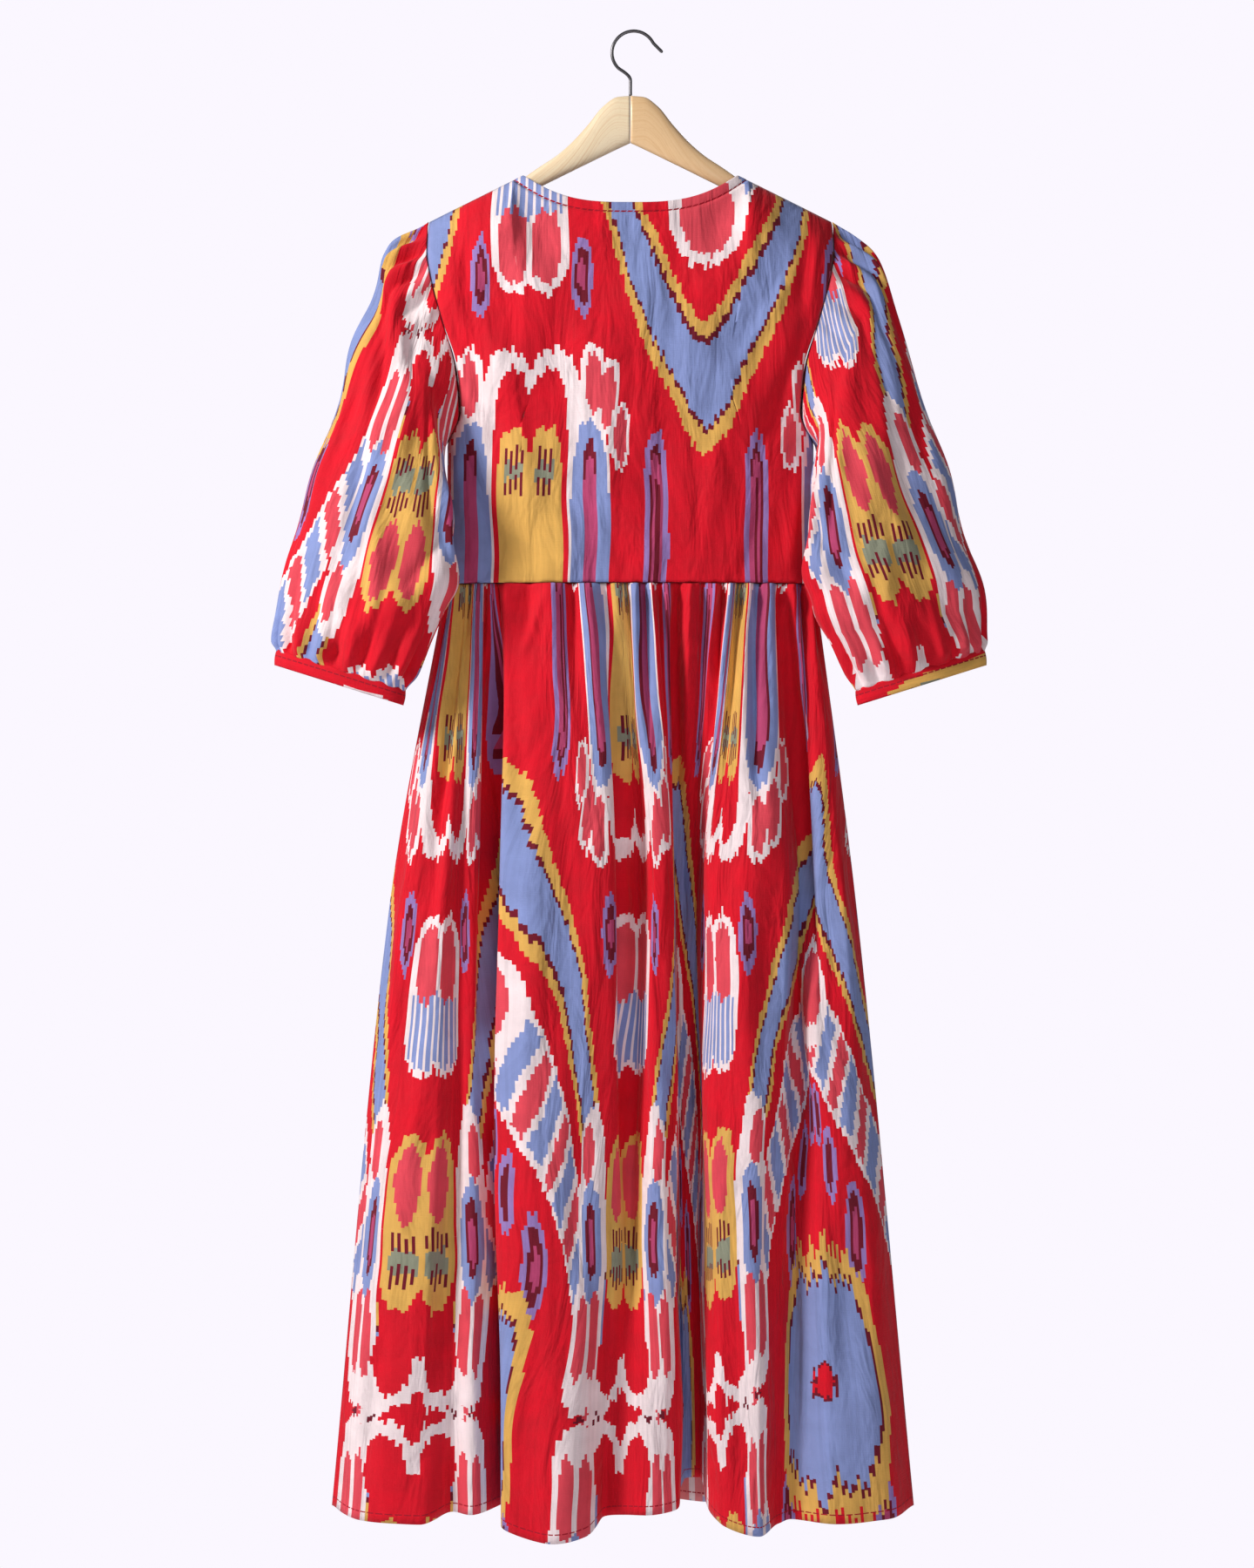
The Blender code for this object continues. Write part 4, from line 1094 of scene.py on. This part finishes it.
class DRESS_OT_sleeves(bpy.types.Operator):
    """Make both sleeves with the gathers at their heads and cuffs"""

    bl_idname = "dress.sleeves"
    bl_label = "Sleeves"

    def execute(self, context):
        sizes = context.scene.dress_sizes
        share = stretches(0.0, (0.14, 26), (0.82, 52), (1.0, 30))
        calm = smooth(share / CALM_HEAD) * smooth((1.0 - share) / CALM_CUFF)
        for word, side, seed in (("left", -1.0, 31), ("right", 1.0, 32)):
            grid, turn = sleeve_points(280, share, side)
            height = 0.0
            for down, rows in ((share, HEAD_PLEATS), (1.0 - share, CUFF_PLEATS)):
                apart = (np.degrees(turn) - rows["turn"][:, None] + 180.0) % 360.0 - 180.0
                height += sizes.gather_depth * gathers(apart, down, rows, *SLEEVE_STITCHES)
            round_it = arc_across(grid)[:, :-1]
            for turn_at, share_at, *rest in zip(*SLEEVE_CREASES.values()):
                column = int(round((turn_at + 180.0) % 360.0 / 360.0 * len(turn))) % len(turn)
                up = (share_at - share)[:, None] * SLEEVE_LENGTH
                height += sizes.crease_depth * crease(round_it - round_it[:, column, None], up,
                                                      *rest)
            ring = np.cos(2.0 * math.pi * round_it / round_it[:, -1:])
            waves = undulation(ring, share[:, None] * SLEEVE_LENGTH, seed, *SLEEVE_SWELL)
            height += SLEEVE_SWOLLEN * sizes.swell * waves * calm[:, None]
            height *= smooth(share / SEAM_SHARE)[:, None]
            made = piece("sleeve_" + word + "_cloth", pushed(grid, True, height),
                         True, sleeve_maps(grid, turn, side), cotton_pair(context),
                         sizes.cloth_wall)
        return {"FINISHED"}


def sleeve_maps(plain, turn, side):
    """UV maps of a sleeve in metres, from its surface before it is gathered: round it from
    where each section's back crosses the print's axis, and down it with the height."""
    axis = SLEEVE_AXIS[side]
    arc = arc_across(plain)
    x, z = plain[:, :, 0], plain[:, :, 2]
    back = np.flatnonzero(np.sin(turn) > 0.02)
    back = back[np.argsort(turn[back])]
    miss = side * (np.interp(z, axis["z"], axis["x"]) - x)[:, back]
    start = np.array([np.interp(0.0, np.maximum.accumulate(row), place)
                      for row, place in zip(miss, arc[:, back])])
    spread = 12
    weights = np.exp(-(np.arange(-spread, spread + 1) / 6.0) ** 2)
    start = np.convolve(np.pad(start, spread, mode="edge"), weights / weights.sum(), mode="valid")
    places_w = SLEEVE_PRINT[side] - np.concatenate([z, z[:, :1]], axis=1)
    return {"print": (side * (arc - start[:, None]), places_w),
            "edge": (arc, np.full(arc.shape, NO_EDGE))}


class DRESS_OT_cuffs(bpy.types.Operator):
    """Make the narrow bands that close the sleeves"""

    bl_idname = "dress.cuffs"
    bl_label = "Cuffs"

    def execute(self, context):
        count, steps = 240, 9
        bulge = CUFF_PLUMP * np.sin(np.linspace(0.0, math.pi, steps))[:, None]
        for word, side in (("left", -1.0), ("right", 1.0)):
            grid = cuff_points(count, steps, side)
            arc = arc_across(grid)
            from_edge = np.linspace(CUFF_HEIGHT, 0.0, steps)[:, None] + 0.0 * arc
            maps = {"print": (CUFF_PRINT[side] + from_edge, arc - CUFF_HALF),
                    "edge": (arc, from_edge)}
            made = piece("cuff_" + word + "_cloth", pushed(grid, True, bulge), True,
                         maps, cotton_pair(context), context.scene.dress_sizes.cloth_wall)
        return {"FINISHED"}


class DRESS_OT_hanger_arms(bpy.types.Operator):
    """Make both wooden arms of the hanger"""

    bl_idname = "dress.hanger_arms"
    bl_label = "Hanger arms"

    def execute(self, context):
        look = context.scene.dress_look
        x = stretches(ARM["x"][0], (ARM["x"][-2], 70), (ARM["x"][-1], 9))
        # each arm gets its own base tone: painted light on the left arm, painted shade on the
        # right arm
        for word, side, tone in (("left", -1.0, look.wood), ("right", 1.0, look.wood_right)):
            finish = lacquered_beech("Beech, lacquered, " + word + " arm", look, tone)
            grid = arm_points(x, side)
            arc = arc_across(grid)
            grain = (side * x[:, None] + 0.0 * arc, arc + GRAIN_SHIFT * (side > 0.0))
            made = piece("hanger_arm_" + word + "_wood", grid, True,
                         {"grain": grain}, [finish])
            close_ends(made)
        return {"FINISHED"}


def arm_points(x, side):
    """Sections of one arm: upright superellipses between the curves of its top, bottom and
    thickness."""
    turn = turns(40)
    row = {name: values[:, None] for name, values in read(ARM, "x", x).items()}
    bulge_y, bulge_z = (np.sign(wave) * np.abs(wave) ** (2.0 / ARM_POWER)
                        for wave in (np.cos(turn), np.sin(turn)))
    z = (row["top"] + row["bottom"]) / 2.0 + (row["top"] - row["bottom"]) / 2.0 * bulge_z
    y = sweep(x, NECK_Z)[:, None] + row["half_thick"] * bulge_y
    return np.stack([side * x[:, None] + 0.0 * z, y, z], axis=2)


def close_ends(made):
    """Fill both ends of a tube with one face each, facing outwards."""
    shape = bmesh.new()
    shape.from_mesh(made.data)
    edges = [edge for edge in shape.edges if edge.is_boundary]
    bmesh.ops.holes_fill(shape, edges=edges, sides=0)
    bmesh.ops.recalc_face_normals(shape, faces=shape.faces)
    shape.to_mesh(made.data)
    shape.free()


def hook_route(count):
    """Middle line of the wire: up the stem, round to the left, over the top and down. The
    corners are the solid's own, rounded by a running mean."""
    start_z = ARM["top"][0] + SEAM_GAP
    angle = np.linspace(math.radians(226.0), math.radians(26.0), 40)
    bow_x = HOOK_X + HOOK_RADIUS * np.cos(angle)
    bow_z = WIRE / 2.0 - HOOK_RADIUS + HOOK_RADIUS * np.sin(angle)
    share = np.array([0.25, 0.5, 0.75])
    tail = HOOK_TAIL * np.array([0.5, 1.0])
    x = np.concatenate([np.zeros(3), bow_x[0] * share ** 1.5, bow_x, bow_x[-1] + tail])
    z = np.concatenate([[start_z, (start_z + STEM_TOP) / 2.0, STEM_TOP],
                        STEM_TOP + (bow_z[0] - STEM_TOP) * share, bow_z, bow_z[-1] - tail])
    route, at = even_steps(np.stack([x, z], axis=1), count, True)
    for _ in range(4):
        route[1:-1] = (route[:-2] + 2.0 * route[1:-1] + route[2:]) / 4.0
    return route, at


class DRESS_OT_hanger_hook(bpy.types.Operator):
    """Make the steel hook"""

    bl_idname = "dress.hanger_hook"
    bl_label = "Hanger hook"

    def execute(self, context):
        finish = drawn_steel("Steel wire, drawn", context.scene.dress_look)
        route, at = hook_route(150)
        ahead = np.gradient(route, axis=0)
        ahead /= np.linalg.norm(ahead, axis=1)[:, None]
        turn = turns(20)
        end = np.minimum(at, at[-1] - at) / (WIRE / 2.0)
        ball = (1.0 - np.clip(end, BLUNT, 1.0)) ** 2 * (at > at[-1] / 2.0)
        thick = (WIRE / 2.0 * np.sqrt(1.0 - ball))[:, None]
        x = route[:, :1] - ahead[:, 1:] * np.cos(turn) * thick
        z = route[:, 1:] + ahead[:, :1] * np.cos(turn) * thick
        grid = np.stack([x, np.sin(turn) * thick, z], axis=2)
        arc = arc_across(grid)
        made = piece("hanger_hook_wire", grid, True,
                     {"grain": (at[:, None] + 0.0 * arc, arc)}, [finish])
        close_ends(made)
        return {"FINISHED"}


class DRESS_OT_stage(bpy.types.Operator):
    """Lay the pale floor, set the soft studio lights and stand the camera"""

    bl_idname = "dress.stage"
    bl_label = "Studio"

    def execute(self, context):
        scene = context.scene
        scene.view_settings.view_transform = "Standard"
        floor = bpy.data.meshes.new("floor")
        floor.from_pydata([(-3.0, -4.0, FLOOR_Z), (3.0, -4.0, FLOOR_Z), (3.0, 0.72, FLOOR_Z),
                           (-3.0, 0.72, FLOOR_Z)], [], [(0, 1, 2, 3)])
        floor.materials.append(studio_paper("Seamless paper", scene.dress_look))
        ground = bpy.data.objects.new("floor", floor)
        scene.collection.objects.link(ground)

        for name, place, size, power, warm in (
                ("key", (-2.3, -1.35, 0.8), 0.7, 84.0, (1.0, 0.985, 0.96)),
                ("fill", (1.0, -2.9, -0.4), 1.4, 13.0, (0.97, 0.98, 1.0)),
                ("rear", (0.4, 2.6, 0.4), 1.8, 22.0, (1.0, 1.0, 1.0))):
            light = bpy.data.lights.new(name, "AREA")
            light.shape = "DISK"
            light.size, light.energy, light.color = size, power, warm
            lamp = bpy.data.objects.new(name, light)
            lamp.location = place
            aim = np.array(LIT_PLACE) - np.array(place)
            lamp.rotation_euler = (math.atan2(np.hypot(aim[0], aim[1]), -aim[2]), 0.0,
                                   math.atan2(-aim[0], aim[1]))
            scene.collection.objects.link(lamp)

        world = bpy.data.worlds.new("studio")
        scene.world = world
        world.use_nodes = True
        tree = world.node_tree
        tree.nodes.clear()
        seen = add(tree, "Background", {"Color": linear("FBF7FF"), "Strength": 1.0}).outputs[0]
        lit = add(tree, "Background", {"Color": linear("FBF9FF"), "Strength": 0.14}).outputs[0]
        ray = add(tree, "LightPath").outputs["Is Camera Ray"]
        both = add(tree, "MixShader", {0: ray, 1: lit, 2: seen}).outputs[0]
        add(tree, "OutputWorld", {"Surface": both})

        lens = bpy.data.cameras.new("camera")
        lens.sensor_fit = "VERTICAL"
        lens.sensor_height = SENSOR
        lens.lens = SENSOR * CAMERA_AWAY / VIEW_TALL
        camera = bpy.data.objects.new("camera", lens)
        camera.location = (-0.0032, -CAMERA_AWAY, -0.69)
        camera.rotation_euler = (math.pi / 2.0, 0.0, 0.0)
        scene.collection.objects.link(camera)
        scene.camera = camera
        return {"FINISHED"}


OPERATORS = (DRESS_OT_skirt, DRESS_OT_bodice, DRESS_OT_neck_binding, DRESS_OT_sleeves,
             DRESS_OT_cuffs, DRESS_OT_hanger_arms, DRESS_OT_hanger_hook, DRESS_OT_stage)


class DRESS_PT_panel(bpy.types.Panel):
    """Lists the dress's pieces and its studio"""

    bl_label = "Dress"
    bl_idname = "DRESS_PT_panel"
    bl_space_type = "VIEW_3D"
    bl_region_type = "UI"
    bl_category = "Dress"

    def draw(self, context):
        for group in (context.scene.dress_sizes, context.scene.dress_look):
            for name in group.__annotations__:
                self.layout.prop(group, name)
        for operator in OPERATORS:
            self.layout.operator(operator.bl_idname)


CLASSES = (DressSizes, DressLook, *OPERATORS, DRESS_PT_panel)


def register():
    """Register the classes and hang their settings on the scene."""
    for one in CLASSES:
        bpy.utils.register_class(one)
    bpy.types.Scene.dress_sizes = bpy.props.PointerProperty(type=DressSizes)
    bpy.types.Scene.dress_look = bpy.props.PointerProperty(type=DressLook)


def unregister():
    """Take the settings and classes away again."""
    del bpy.types.Scene.dress_look
    del bpy.types.Scene.dress_sizes
    for one in reversed(CLASSES):
        bpy.utils.unregister_class(one)


def main():
    """Make every piece and the studio."""
    register()
    for operator in OPERATORS:
        getattr(bpy.ops.dress, operator.bl_idname.split(".")[1])()


if __name__ == "__main__":
    main()
